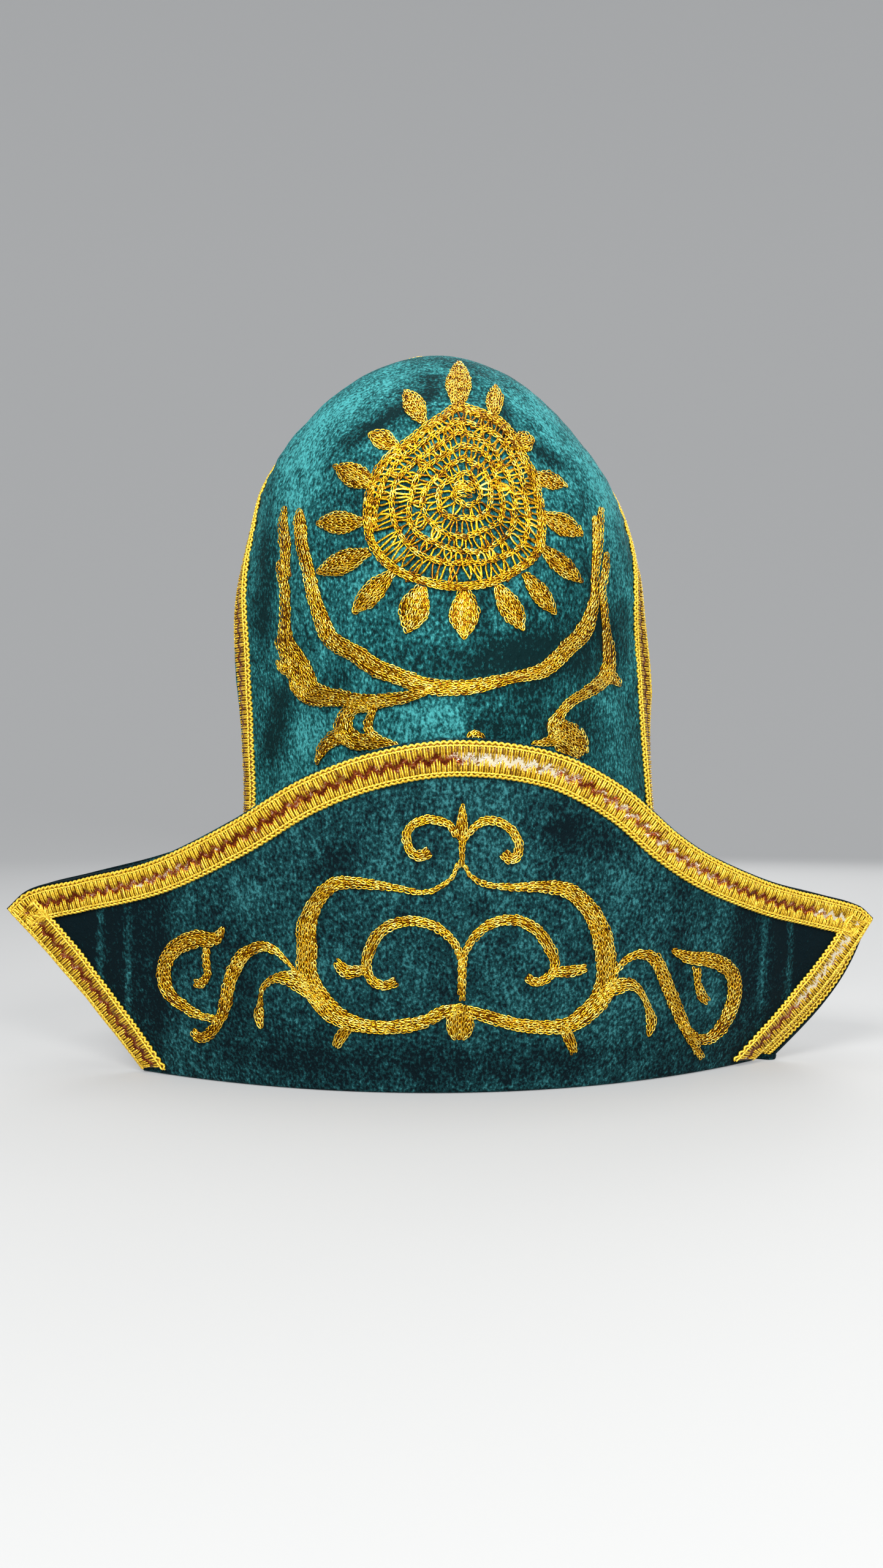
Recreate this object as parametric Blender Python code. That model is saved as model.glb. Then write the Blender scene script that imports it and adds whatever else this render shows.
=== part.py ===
"""A tall velvet hat of two dome panels with a split, turned-up brim and gold braid along its edges.

Blender 4.5, metres, +Z up. The front faces -Y, and the origin is at the centre of the base on the surface
that the hat stands on. The tables and sizes below are in millimetres, and add_shell turns them to metres.
"""

import math
from collections import namedtuple

import bmesh
import bpy
from mathutils import Vector
from mathutils.bvhtree import BVHTree

MM = 0.001

CROWN_WALL = 2.0
SEAM_ALLOWANCE = 3.0
SEAM_GAP = 0.45
CROWN_RINGS = 23
CROWN_COLUMNS = 22

FLAP_WALL = 2.4
FOLD_RADIUS = 2.7
FOLD_INSET = 0.8
FOLD_CENTRE_OUT = 1.6
FLAP_COLUMNS = 44
FLAP_ROWS = 8
FLAP_BULGE = 2.6
FOOT_FADE = 5
TOP_EDGE_DEPTH = 86.0
TIP_DEPTH = 2.0
SLIT_CLEARANCE = 0.3

BRAID_WIDTH = 13.5
BRAID_THICKNESS = 1.2
BRAID_INSET = 0.8
EDGE_BRAID_LIFT = 0.45
EDGE_BRAID_CELLS = 2
SEAM_BRAID_LIFT = 0.8
SEAM_BRAID_CELLS = 6
SEAM_BRAID_FOOT = 12.0
CREST_BACK = 3.5
SIDE_ANGLE = 90
SIDE_NEAR = 8
SHOULDER_HEIGHT = 190.0
SMOOTH_TOP = 40.0

# The sections of the dome from the base up. A ridge of 0.5 is a round side and 1 a sharp one. A seam is its
# angle round from the middle of the front, so past 90 it lies behind the side of the dome.
CrownRow = namedtuple(
    "CrownRow", "height centre_x centre_y half_width half_depth ridge_left ridge_right seam_left seam_right"
)
CROWN_ROWS = (
    CrownRow(2.7, 1.0, 0.0, 132.0, 52.0, 1.00, 1.00, 73, 73),
    CrownRow(25, 0.8, 0.0, 117.5, 55.0, 1.00, 1.00, 73, 73),
    CrownRow(55, 0.4, 0.0, 102.5, 61.0, 1.05, 1.00, 76, 77),
    CrownRow(85, 0.2, 0.0, 93.0, 67.5, 1.10, 0.98, 80, 82),
    CrownRow(113, -0.1, 0.0, 90.1, 72.5, 1.15, 0.96, 81, 83),
    CrownRow(146, -1.1, 0.0, 90.2, 76.0, 1.18, 1.04, 80, 76),
    CrownRow(178, -2.6, 0.0, 91.5, 77.0, 1.14, 1.06, 75, 71),
    CrownRow(205, -3.8, 0.5, 89.3, 76.0, 0.90, 0.76, 79, 71),
    CrownRow(232, -3.9, 1.0, 82.7, 72.5, 0.70, 0.60, 91, 86),
    CrownRow(254, -4.8, 2.0, 76.5, 67.0, 0.62, 0.60, 100, 98),
    CrownRow(270, -6.0, 3.0, 66.8, 60.5, 0.60, 0.58, 104, 104),
    CrownRow(281, -6.0, 4.5, 58.0, 53.5, 0.56, 0.56, 106, 106),
    CrownRow(291, -5.7, 7.0, 49.0, 46.0, 0.54, 0.54, 106, 106),
    CrownRow(301.5, -5.3, 9.5, 36.5, 34.5, 0.52, 0.52, 106, 106),
    CrownRow(308.7, -5.4, 11.5, 22.8, 22.8, 0.50, 0.50, 106, 106),
    CrownRow(313, -5.4, 12.5, 11, 11, 0.50, 0.50, 106, 106),
    CrownRow(314.4, -5.0, 12.5, 0.0, 0.0, 0.50, 0.50, 106, 106),
)
WIDEST = 6

# Soft grooves in the cloth: where the middle lies, how long it runs at which angle, and its width and depth.
Dent = namedtuple("Dent", "x z length angle width depth")
FRONT_DENTS = (
    Dent(-31, 291, 52, 41, 7.0, 2.2),
    Dent(-62, 262, 40, 58, 8.0, 1.6),
    Dent(77, 190, 30, -68, 5.0, 2.0),
    Dent(-82, 157, 26, 66, 5.0, 1.6),
    Dent(-80, 128, 24, 72, 5.0, 1.6),
    Dent(62, 176, 46, -40, 9.0, 1.4),
)
BACK_DENTS = (
    Dent(28, 286, 50, -38, 8.0, 2.0),
    Dent(-66, 205, 44, 55, 8.0, 1.6),
    Dent(60, 168, 44, -48, 8.0, 1.6),
)
FLAP_DENTS = (
    Dent(-157, 62, 52, 86, 6.0, 1.4),
    Dent(-126, 52, 70, 88, 7.0, 1.2),
    Dent(128, 48, 70, 92, 6.0, 1.2),
    Dent(150, 52, 56, 94, 6.0, 1.4),
)

# The free edge of the brim from tip to tip. The share is the part of the way from the middle to a tip.
EdgeRow = namedtuple("EdgeRow", "share height")
EDGE_ROWS = (
    EdgeRow(-1.00, 71),
    EdgeRow(-0.95, 79),
    EdgeRow(-0.83, 84.9),
    EdgeRow(-0.65, 93.9),
    EdgeRow(-0.48, 109.6),
    EdgeRow(-0.34, 125.9),
    EdgeRow(-0.19, 136.8),
    EdgeRow(-0.02, 141.4),
    EdgeRow(0.18, 136.5),
    EdgeRow(0.33, 122.8),
    EdgeRow(0.455, 104.4),
    EdgeRow(0.55, 94.0),
    EdgeRow(0.71, 82.4),
    EdgeRow(0.86, 75.1),
    EdgeRow(0.96, 69.8),
    EdgeRow(1.00, 64.0),
)

# A flap faces -Y or +Y. Its foot is how far the end of the fold reaches past the crown, and its tips are
# the distances of the wing tips from the middle. The bulges are how far the slit edges swell outwards.
Flap = namedtuple("Flap", "facing foot_left foot_right tip_left tip_right bulge_left bulge_right")
FRONT_FLAP = Flap(-1, 0.0, 0.0, 190.3, 190.0, -1.6, 4.8)
BACK_FLAP = Flap(1, 0.0, 12.5, 189.5, 190.4, -1.6, 7.0)

VELVET_COLOUR = (0.004, 0.09, 0.10, 1)
BRAID_COLOUR = (0.78, 0.50, 0.05, 1)


def clear_scene():
    for item in list(bpy.data.objects):
        bpy.data.objects.remove(item, do_unlink=True)


def velvet():
    material = bpy.data.materials.new("teal_velvet")
    material.use_nodes = True
    shader = material.node_tree.nodes["Principled BSDF"]
    shader.inputs["Base Color"].default_value = VELVET_COLOUR
    shader.inputs["Roughness"].default_value = 0.8
    shader.inputs["Sheen Weight"].default_value = 0.6
    return material


def gold_braid():
    material = bpy.data.materials.new("gold_braid")
    material.use_nodes = True
    shader = material.node_tree.nodes["Principled BSDF"]
    shader.inputs["Base Color"].default_value = BRAID_COLOUR
    shader.inputs["Roughness"].default_value = 0.4
    shader.inputs["Metallic"].default_value = 0.6
    return material


def smooth_between(before, start, end, after, part):
    """Catmull-Rom curve from start to end."""
    slope_in = (end - before) / 2
    slope_out = (after - start) / 2
    turn = start - end
    return start + part * (slope_in + part * (-3 * turn - 2 * slope_in - slope_out
                                              + part * (2 * turn + slope_in + slope_out)))


def crown_row(way_up):
    """The section of the crown at a part of the way up its table, 0 at the base and 1 at the top."""
    last = len(CROWN_ROWS) - 1
    place = way_up * last
    at = min(int(place), last - 1)
    picked = [CROWN_ROWS[min(max(at + step, 0), last)] for step in (-1, 0, 1, 2)]
    return CrownRow(*(smooth_between(*values, place - at) for values in zip(*picked)))


def edge_height(share):
    """Height of the brim's free edge, smooth through the rows of its table."""
    at = max(i for i, row in enumerate(EDGE_ROWS[:-1]) if row.share <= share or i == 0)
    start, end = EDGE_ROWS[at], EDGE_ROWS[at + 1]
    before, after = EDGE_ROWS[max(at - 1, 0)], EDGE_ROWS[min(at + 2, len(EDGE_ROWS) - 1)]
    span = end.share - start.share
    part = (share - start.share) / span
    slope_in = (end.height - before.height) / (end.share - before.share) * span
    slope_out = (after.height - start.height) / (after.share - start.share) * span
    turn = start.height - end.height
    return start.height + part * (slope_in + part * (-3 * turn - 2 * slope_in - slope_out
                                                     + part * (2 * turn + slope_in + slope_out)))


def dent_depth(dents, x, z):
    """How far the cloth is pushed in at one place, each dent being a soft groove with fading ends."""
    total = 0.0
    for dent in dents:
        turn = math.radians(dent.angle)
        along = (x - dent.x) * math.cos(turn) + (z - dent.z) * math.sin(turn)
        across = (z - dent.z) * math.cos(turn) - (x - dent.x) * math.sin(turn)
        fade = math.exp(-((2 * along / dent.length) ** 4))
        total += dent.depth * fade * math.exp(-((across / dent.width) ** 2))
    return total


def crown_point(row, angle):
    """A point of a section, at an angle round from the middle of the front."""
    turn = math.radians(angle)
    ridge = row.ridge_left if angle % 360 > 180 else row.ridge_right
    reach = row.half_depth * abs(math.cos(turn)) ** (2 * ridge)
    x = row.centre_x + row.half_width * math.sin(turn)
    y = row.centre_y - math.copysign(reach, math.cos(turn))
    dents = FRONT_DENTS if math.cos(turn) > 0 else BACK_DENTS
    y += dent_depth(dents, x, row.height) * math.cos(turn) * min(1.0, row.half_width / SMOOTH_TOP)
    return Vector((x, y, row.height))


def wall_inside(row, below):
    """The section inside the wall: it is narrower and shallower at the sides, and lower near the top."""
    slope = math.hypot(row.height - below.height, below.half_width - row.half_width) or 1.0
    level = max(0.0, below.half_width - row.half_width) / slope if row.height > SHOULDER_HEIGHT else 0.0
    return row._replace(
        height=row.height - CROWN_WALL * level,
        half_width=row.half_width * (1 - SEAM_ALLOWANCE / CROWN_ROWS[WIDEST].half_width),
        half_depth=row.half_depth * (1 - CROWN_WALL / CROWN_ROWS[WIDEST].half_depth),
    )


def crowded(part):
    """The same part of a panel's width, drawn closer to the seams, where the cloth turns most."""
    return part / 2 + (1 - math.cos(math.pi * part)) / 4


def crown_panel(facing):
    """Outer and inner grids of one panel, from seam to seam and from the base to the top."""
    outer, inner = [], []
    below = crown_row(0)
    for ring in range(CROWN_RINGS + 1):
        row = crown_row(ring / CROWN_RINGS)
        inside = wall_inside(row, below)
        below = row
        start, end = (-row.seam_left, row.seam_right) if facing < 0 else (row.seam_right, 360 - row.seam_left)
        angles = [start + (end - start) * crowded(column / CROWN_COLUMNS) for column in range(CROWN_COLUMNS + 1)]
        shift = Vector((0, facing * SEAM_GAP / 2, 0))
        outer.append([crown_point(row, angle) + shift for angle in angles])
        inner.append([crown_point(inside, angle) + shift for angle in angles])
    return outer, inner


def fold_line(flap, share, out):
    """A point beside the crown's base section, out from its face, on the front or back half."""
    base = CROWN_ROWS[0]
    foot = flap.foot_left if share < 0 else flap.foot_right
    side = Vector((2 * base.half_depth * share, base.half_width)).normalized()
    x = base.centre_x + base.half_width * share + foot * share ** FOOT_FADE + side.x * out
    y = base.half_depth * (1 - share ** 2) + side.y * out
    return x, max(y, SLIT_CLEARANCE)


def flap_middle(flap, share, rise):
    """Middle of the flap's cloth, from the fold at rise 0 to the free edge at rise 1."""
    foot_x, foot_y = fold_line(flap, share, FOLD_CENTRE_OUT + FOLD_RADIUS - FLAP_WALL / 2)
    tip = flap.tip_left if share < 0 else flap.tip_right
    round_part = math.cos(math.pi * share / 2) ** 2 / 2 + (1 - share ** 2) / 2
    top_y = TIP_DEPTH + (TOP_EDGE_DEPTH - TIP_DEPTH) * round_part
    middle = math.sin(math.pi * rise)
    side_bulge = flap.bulge_left if share < 0 else flap.bulge_right
    x = foot_x + (tip * share - foot_x) * rise + side_bulge * share ** FOOT_FADE * middle
    z = FOLD_RADIUS + (edge_height(share) - FOLD_RADIUS) * rise
    y = foot_y + (top_y - foot_y) * rise + FLAP_BULGE * middle * (1 - abs(share) ** 3)
    y -= dent_depth(FLAP_DENTS, x, z) * (1 - abs(share) ** 9)
    return Vector((x, flap.facing * y, z))


def flap_grids(flap):
    """Outer and inner grids of a flap, from under the crown's wall round the fold and up to the edge."""
    outer, inner = [], []
    for out, turn in ((-FOLD_INSET, 0), (FOLD_CENTRE_OUT, 0), (FOLD_CENTRE_OUT, 45)):
        for grid, radius in ((outer, FOLD_RADIUS), (inner, FOLD_RADIUS - FLAP_WALL)):
            reach = out + radius * math.sin(math.radians(turn))
            height = FOLD_RADIUS - radius * math.cos(math.radians(turn))
            ring = [fold_line(flap, column_share(column), reach) for column in range(FLAP_COLUMNS + 1)]
            grid.append([Vector((x, flap.facing * y, height)) for x, y in ring])
    for row in range(FLAP_ROWS + 1):
        rise = row / FLAP_ROWS
        line_out, line_in = [], []
        for column in range(FLAP_COLUMNS + 1):
            share = column_share(column)
            middle = flap_middle(flap, share, rise)
            out = flap_normal(flap, share, rise) * FLAP_WALL / 2
            line_out.append(middle + out)
            line_in.append(middle - out)
        outer.append(line_out)
        inner.append(line_in)
    return outer, inner


def column_share(column):
    return 2 * column / FLAP_COLUMNS - 1


def flap_normal(flap, share, rise):
    """Outward direction of the flap's cloth."""
    step = 0.01
    low, high = max(rise - step, 0), min(rise + step, 1)
    left, right = max(share - step, -1), min(share + step, 1)
    up = flap_middle(flap, share, high) - flap_middle(flap, share, low)
    along = flap_middle(flap, right, rise) - flap_middle(flap, left, rise)
    return (along.cross(up) * -flap.facing).normalized()


def add_shell(name, outer, inner, material, collection):
    """One closed wall between two grids of points. A row that shrinks to a point closes by itself."""
    mesh = bmesh.new()
    grids = [[[mesh.verts.new(point * MM) for point in row] for row in grid] for grid in (outer, inner)]
    rows, columns = len(outer), len(outer[0])
    for grid in grids:
        for r in range(rows - 1):
            for c in range(columns - 1):
                mesh.faces.new((grid[r][c], grid[r][c + 1], grid[r + 1][c + 1], grid[r + 1][c]))
    top, under = grids
    rims = [[(top[r][c], under[r][c]) for r in range(rows)] for c in (0, columns - 1)]
    rims += [[(top[r][c], under[r][c]) for c in range(columns)] for r in (0, rows - 1)]
    for rim in rims:
        for (a, b), (c, d) in zip(rim, rim[1:]):
            mesh.faces.new((a, b, d, c))
    bmesh.ops.remove_doubles(mesh, verts=mesh.verts, dist=1e-6)
    bmesh.ops.triangulate(mesh, faces=mesh.faces)
    bmesh.ops.recalc_face_normals(mesh, faces=mesh.faces)
    data = bpy.data.meshes.new(name)
    mesh.to_mesh(data)
    mesh.free()
    data.shade_smooth()
    data.set_sharp_from_angle(angle=math.radians(50))
    data.materials.append(material)
    item = bpy.data.objects.new(name, data)
    collection.objects.link(item)
    return item


def surface_tree(grid):
    """The faces of a grid of points, for laying braid on them."""
    columns = len(grid[0])
    faces = []
    for r in range(len(grid) - 1):
        for c in range(columns - 1):
            corner = r * columns + c
            faces.append((corner, corner + 1, corner + columns + 1, corner + columns))
    return BVHTree.FromPolygons([point for row in grid for point in row], faces)


def edge_braid_grids(tree, path):
    """Top and underside of a braid laid inside an edge of the cloth, mitred where the edge turns."""
    top, under = [], []
    last = len(path) - 1
    normals = [outward(tree, point) for point in path]
    for i, point in enumerate(path):
        before = path[i] - path[i - 1] if i else path[1] - path[0]
        after = path[i + 1] - path[i] if i < last else path[i] - path[i - 1]
        sides = [normals[i].cross(step.normalized()).normalized() for step in (before, after)]
        across = (sides[0] + sides[1]) / (1 + sides[0].dot(sides[1]))
        if i in (0, last):
            across = Vector((across.x, across.y, 0)) * across.length_squared / (across.x ** 2 + across.y ** 2)
        line_top, line_under = [], []
        for cell in range(EDGE_BRAID_CELLS + 1):
            reach = BRAID_INSET + BRAID_WIDTH * cell / EDGE_BRAID_CELLS
            spot = tree.find_nearest(point + across * reach)[0]
            off = outward(tree, spot)
            line_top.append(spot + off * (EDGE_BRAID_LIFT + BRAID_THICKNESS))
            line_under.append(spot + off * EDGE_BRAID_LIFT)
        top.append(line_top)
        under.append(line_under)
    return top, under


def outward(tree, point):
    """Direction square to a flap's cloth next to a point, away from the crown."""
    normal = tree.find_nearest(point)[1]
    return normal if normal.y * point.y > 0 else -normal


def crown_normal(way_up, angle):
    """Outward direction of the dome."""
    step = 0.004
    up = crown_point(crown_row(min(way_up + step, 1)), angle) - crown_point(crown_row(way_up - step), angle)
    row = crown_row(way_up)
    if row.half_width < BRAID_THICKNESS:
        return Vector((0, 0, 1))
    return (crown_point(row, angle + 1) - crown_point(row, angle - 1)).cross(up).normalized()


def angle_beside(row, angle, reach):
    """The angle a distance along the section from another, clockwise where the distance is positive."""
    step = math.copysign(1.0, reach)
    gone, place = 0.0, crown_point(row, angle)
    while True:
        spot = crown_point(row, angle + step)
        stride = (spot - place).length
        if gone + stride >= abs(reach):
            return angle + step * (abs(reach) - gone) / stride
        gone, place, angle = gone + stride, spot, angle + step


def top_way_up(depth):
    """The part of the way up where the section is as deep as this, close to the top."""
    low, high = 0.5, 1.0
    for _ in range(30):
        middle = (low + high) / 2
        low, high = (middle, high) if crown_row(middle).half_depth > depth else (low, middle)
    return low


def seam_braid_grids():
    """Top and underside of the braid that runs up the left seam, over the top and down the right seam.

    Where the braid folds round the side of the dome, or nearly reaches it, one of its lines lies on that side.
    """
    reaches = [BRAID_WIDTH * (cell / SEAM_BRAID_CELLS - 0.5) for cell in range(SEAM_BRAID_CELLS + 1)]
    ways = [ring / CROWN_RINGS for ring in range(CROWN_RINGS)]
    ways = [way for way in ways
            if crown_row(way).height > SEAM_BRAID_FOOT and crown_row(way).half_width > BRAID_WIDTH / 2]
    rows = []
    for side in (-1, 1):
        spots = []
        for way in ways:
            row = crown_row(way)
            seam = row.seam_left if side < 0 else row.seam_right
            angles = [angle_beside(row, side * seam, -side * (reach or 1e-6)) for reach in reaches]
            turned = [abs(angle) for angle in angles]
            if min(turned) < SIDE_ANGLE < max(turned) + SIDE_NEAR:
                closest = min(range(len(turned)), key=lambda cell: abs(turned[cell] - SIDE_ANGLE))
                angles[closest] = side * SIDE_ANGLE
            spots.append([(way, angle) for angle in angles])
        rows.append(spots)
    crest = [(top_way_up(abs(reach - CREST_BACK)), 180 if reach < CREST_BACK else 0) for reach in reaches]
    top, under = [], []
    for spots in rows[0] + [crest] + rows[1][::-1]:
        lifted = [(crown_point(crown_row(way), angle), crown_normal(way, angle)) for way, angle in spots]
        top.append([spot + off * (SEAM_BRAID_LIFT + BRAID_THICKNESS) for spot, off in lifted])
        under.append([spot + off * SEAM_BRAID_LIFT for spot, off in lifted])
    return top, under


def free_edge_path(flap):
    """The free edge of a flap, slit edges and top, in the direction that keeps the cloth on its inner side."""
    slit_steps, top_steps = 6, 52
    rises = [step / slit_steps for step in range(slit_steps)]
    path = [flap_middle(flap, -1, rise) + flap_normal(flap, -1, rise) * FLAP_WALL / 2 for rise in rises]
    for step in range(top_steps + 1):
        share = 2 * step / top_steps - 1
        path.append(flap_middle(flap, share, 1) + flap_normal(flap, share, 1) * FLAP_WALL / 2)
    path += [flap_middle(flap, 1, rise) + flap_normal(flap, 1, rise) * FLAP_WALL / 2 for rise in reversed(rises)]
    return path[::flap.facing]


def build():
    clear_scene()
    hat = bpy.data.collections.new("velvet_kalpak_hat")
    bpy.context.scene.collection.children.link(hat)
    cloth, braid = velvet(), gold_braid()

    front_outer, front_inner = crown_panel(-1)
    back_outer, back_inner = crown_panel(1)
    add_shell("crown_front_panel", front_outer, front_inner, cloth, hat)
    add_shell("crown_back_panel", back_outer, back_inner, cloth, hat)
    top, under = seam_braid_grids()
    add_shell("crown_seam_braid", top, under, braid, hat)

    for side, flap in (("front", FRONT_FLAP), ("back", BACK_FLAP)):
        outer, inner = flap_grids(flap)
        add_shell(f"brim_{side}_flap", outer, inner, cloth, hat)
        top, under = edge_braid_grids(surface_tree(outer), free_edge_path(flap))
        add_shell(f"brim_{side}_braid", top, under, braid, hat)


build()
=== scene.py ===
"""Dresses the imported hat: crushed velvet, gimp braid with foil, and gold chain stitch on the front.

Blender 4.5, metres, +Z up, front towards -Y. Sizes and tables are in millimetres unless a name says pixels.
"""

import math
from collections import namedtuple

import bmesh
import bpy
import numpy as np
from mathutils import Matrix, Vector, noise
from mathutils.bvhtree import BVHTree


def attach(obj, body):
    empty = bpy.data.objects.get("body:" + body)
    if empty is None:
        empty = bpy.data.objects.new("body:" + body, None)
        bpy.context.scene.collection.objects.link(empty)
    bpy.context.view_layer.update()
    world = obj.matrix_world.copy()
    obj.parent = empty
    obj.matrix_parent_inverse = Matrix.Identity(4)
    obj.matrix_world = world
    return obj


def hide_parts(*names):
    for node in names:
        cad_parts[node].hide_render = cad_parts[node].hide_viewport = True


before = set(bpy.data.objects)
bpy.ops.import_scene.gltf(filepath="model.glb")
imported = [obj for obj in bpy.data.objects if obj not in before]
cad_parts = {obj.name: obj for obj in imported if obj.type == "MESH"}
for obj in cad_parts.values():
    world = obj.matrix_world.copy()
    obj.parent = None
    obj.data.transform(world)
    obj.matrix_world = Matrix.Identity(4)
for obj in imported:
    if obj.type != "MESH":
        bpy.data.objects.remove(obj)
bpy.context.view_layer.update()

# The photograph's view: a level camera a little left of the middle, turned to look slightly across the front.
# The embroidery is laid out in this view's pixels, so the view comes before the pieces.
MM = 0.001
CAMERA_PLACE = (-50.98, -597.84, 124.0)
CAMERA_TURN = -4.5
PICTURE_WIDTH = 1441
PICTURE_HEIGHT = 2560
FOCAL_PIXELS = 2222
SENSOR_WIDTH = 36.0

camera_data = bpy.data.cameras.new("photograph_view")
camera_data.sensor_width = SENSOR_WIDTH
camera_data.lens = SENSOR_WIDTH * FOCAL_PIXELS / PICTURE_HEIGHT
camera_data.clip_start = 0.01
camera_data.clip_end = 50
camera = bpy.data.objects.new("photograph_view", camera_data)
camera.location = [value * MM for value in CAMERA_PLACE]
camera.rotation_euler = (math.radians(90), 0, math.radians(CAMERA_TURN))
bpy.context.scene.collection.objects.link(camera)
bpy.context.scene.camera = camera

camera_spot = np.array(CAMERA_PLACE)
turn = math.radians(CAMERA_TURN)
view_right = np.array((math.cos(turn), math.sin(turn), 0.0))
view_ahead = np.array((-math.sin(turn), math.cos(turn), 0.0))
view_down = np.array((0.0, 0.0, -1.0))


# The dome: two panels of stiffened velvet, front and back, joined along the side seams and over the top.
# The cloth has soft grooves, puckers beside the seams, and a crushed pile that lies light in some places and
# dark in others. These places are painted into its colour, with painted shade in creases and painted sheen
# on lit upper edges.
CROWN_WALL = 2.0
SEAM_ALLOWANCE = 3.0
SEAM_GAP = 0.45
SHOULDER_HEIGHT = 190.0
SMOOTH_TOP = 40.0
WIDEST = 6
RELIEF_FADE = 20
RELIEF_SHADE = 0.25
PANEL_RINGS = 140
PANEL_COLUMNS = 130


def table(kind, *rows):
    """Rows of values under the names of their columns."""
    return [kind(*row) for row in rows]


CrownRow = namedtuple(
    "CrownRow", "height centre_x centre_y half_width half_depth ridge_left ridge_right seam_left seam_right"
)
CROWN_ROWS = table(
    CrownRow,
    (2.7, 1.0, 0.0, 132.0, 52.0, 1.00, 1.00, 73, 73),
    (25, 0.8, 0.0, 117.5, 55.0, 1.00, 1.00, 73, 73),
    (55, 0.4, 0.0, 102.5, 61.0, 1.05, 1.00, 76, 77),
    (85, 0.2, 0.0, 93.0, 67.5, 1.10, 0.98, 80, 82),
    (113, -0.1, 0.0, 90.1, 72.5, 1.15, 0.96, 81, 83),
    (146, -1.1, 0.0, 90.2, 76.0, 1.18, 1.04, 80, 76),
    (178, -2.6, 0.0, 91.5, 77.0, 1.14, 1.06, 75, 71),
    (205, -3.8, 0.5, 89.3, 76.0, 0.90, 0.76, 79, 71),
    (232, -3.9, 1.0, 82.7, 72.5, 0.70, 0.60, 91, 86),
    (254, -4.8, 2.0, 76.5, 67.0, 0.62, 0.60, 100, 98),
    (270, -6.0, 3.0, 66.8, 60.5, 0.60, 0.58, 104, 104),
    (281, -6.0, 4.5, 58.0, 53.5, 0.56, 0.56, 106, 106),
    (291, -5.7, 7.0, 49.0, 46.0, 0.54, 0.54, 106, 106),
    (301.5, -5.3, 9.5, 36.5, 34.5, 0.52, 0.52, 106, 106),
    (308.7, -5.4, 11.5, 22.8, 22.8, 0.50, 0.50, 106, 106),
    (313, -5.4, 12.5, 11, 11, 0.50, 0.50, 106, 106),
    (314.4, -5.0, 12.5, 0.0, 0.0, 0.50, 0.50, 106, 106),
)

# A mark is a soft stroke on the cloth: its middle, its length at an angle, its width, and how deep or how
# pale it is.
Mark = namedtuple("Mark", "x z length angle width amount")
FRONT_GROOVES = table(
    Mark,
    (-31, 291, 52, 41, 7.0, 2.2),
    (-62, 262, 40, 58, 8.0, 1.6),
    (77, 190, 30, -68, 5.0, 2.0),
    (-82, 157, 26, 66, 5.0, 1.6),
    (-80, 128, 24, 72, 5.0, 1.6),
    (62, 176, 46, -40, 9.0, 1.4),
)
BACK_GROOVES = table(
    Mark,
    (28, 286, 50, -38, 8.0, 2.0),
    (-66, 205, 44, 55, 8.0, 1.6),
    (60, 168, 44, -48, 8.0, 1.6),
)
# Light and dark places of the pile on the front panel: painted shade in the creases and painted sheen on the
# lit places, over the pile's own lie.
FRONT_NAP_LIGHT_SHADE = table(
    Mark,
    (-31, 270, 38, 33, 3.6, -1.1),
    (-12, 286, 14, 80, 3.5, -0.7),
    (17, 272, 22, -80, 4.0, -0.9),
    (33, 258, 26, -28, 3.0, -0.8),
    (-79, 212, 60, 86, 4.5, -0.9),
    (-75, 150, 34, 80, 5.0, -0.9),
    (-62, 140, 30, 60, 8.0, 0.6),
    (-46, 284, 70, 38, 13.0, 0.65),
    (-66, 245, 40, 70, 9.0, 0.35),
    (46, 268, 80, -48, 13.0, 0.75),
    (66, 225, 44, -80, 6.0, 0.45),
    (-38, 198, 44, 60, 10.0, 0.35),
    (38, 176, 62, 14, 12.0, -0.9),
    (4, 172, 50, 0, 8.0, -0.5),
    (-12, 148, 26, 12, 6.0, 0.55),
    (30, 146, 60, 6, 9.0, -0.7),
    (57, 196, 34, -72, 2.2, -1.8),
    (63, 180, 22, -66, 1.8, -2.2),
    (64, 150, 56, -84, 7.0, 0.45),
    (60, 212, 30, -74, 5.0, 0.35),
    (79, 190, 40, -80, 4.0, 0.3),
)
# The same on the back panel: painted light and shade over the pile's lie.
BACK_NAP_LIGHT_SHADE = table(
    Mark,
    (30, 262, 40, -33, 5.0, -0.9),
    (-40, 230, 70, 60, 13.0, 0.6),
    (10, 180, 80, 20, 12.0, -0.7),
    (55, 200, 70, -70, 10.0, 0.45),
    (-55, 160, 60, 80, 9.0, -0.7),
    (0, 285, 60, 10, 12.0, 0.5),
)


def eased(start, end, slope_in, slope_out, part):
    """A curve from start to end that leaves and arrives at the given slopes."""
    drop = start - end
    return start + part * (slope_in + part * (-3 * drop - 2 * slope_in - slope_out
                                              + part * (2 * drop + slope_in + slope_out)))


def smooth_between(before, start, end, after, part):
    """Catmull-Rom curve from start to end."""
    return eased(start, end, (end - before) / 2, (after - start) / 2, part)


def crown_row(way_up):
    """The section of the dome at a part of the way up its table, 0 at the base and 1 at the top."""
    last = len(CROWN_ROWS) - 1
    place = way_up * last
    at = min(int(place), last - 1)
    picked = [CROWN_ROWS[min(max(at + step, 0), last)] for step in (-1, 0, 1, 2)]
    return CrownRow(*(smooth_between(*values, place - at) for values in zip(*picked)))


def mark_amount(marks, x, z):
    """The sum of the marks at each place."""
    total = np.zeros_like(x)
    for mark in marks:
        turn = math.radians(mark.angle)
        along = (x - mark.x) * math.cos(turn) + (z - mark.z) * math.sin(turn)
        across = (z - mark.z) * math.cos(turn) - (x - mark.x) * math.sin(turn)
        total += mark.amount * np.exp(-(2 * along / mark.length) ** 4 - (across / mark.width) ** 2)
    return total


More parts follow.
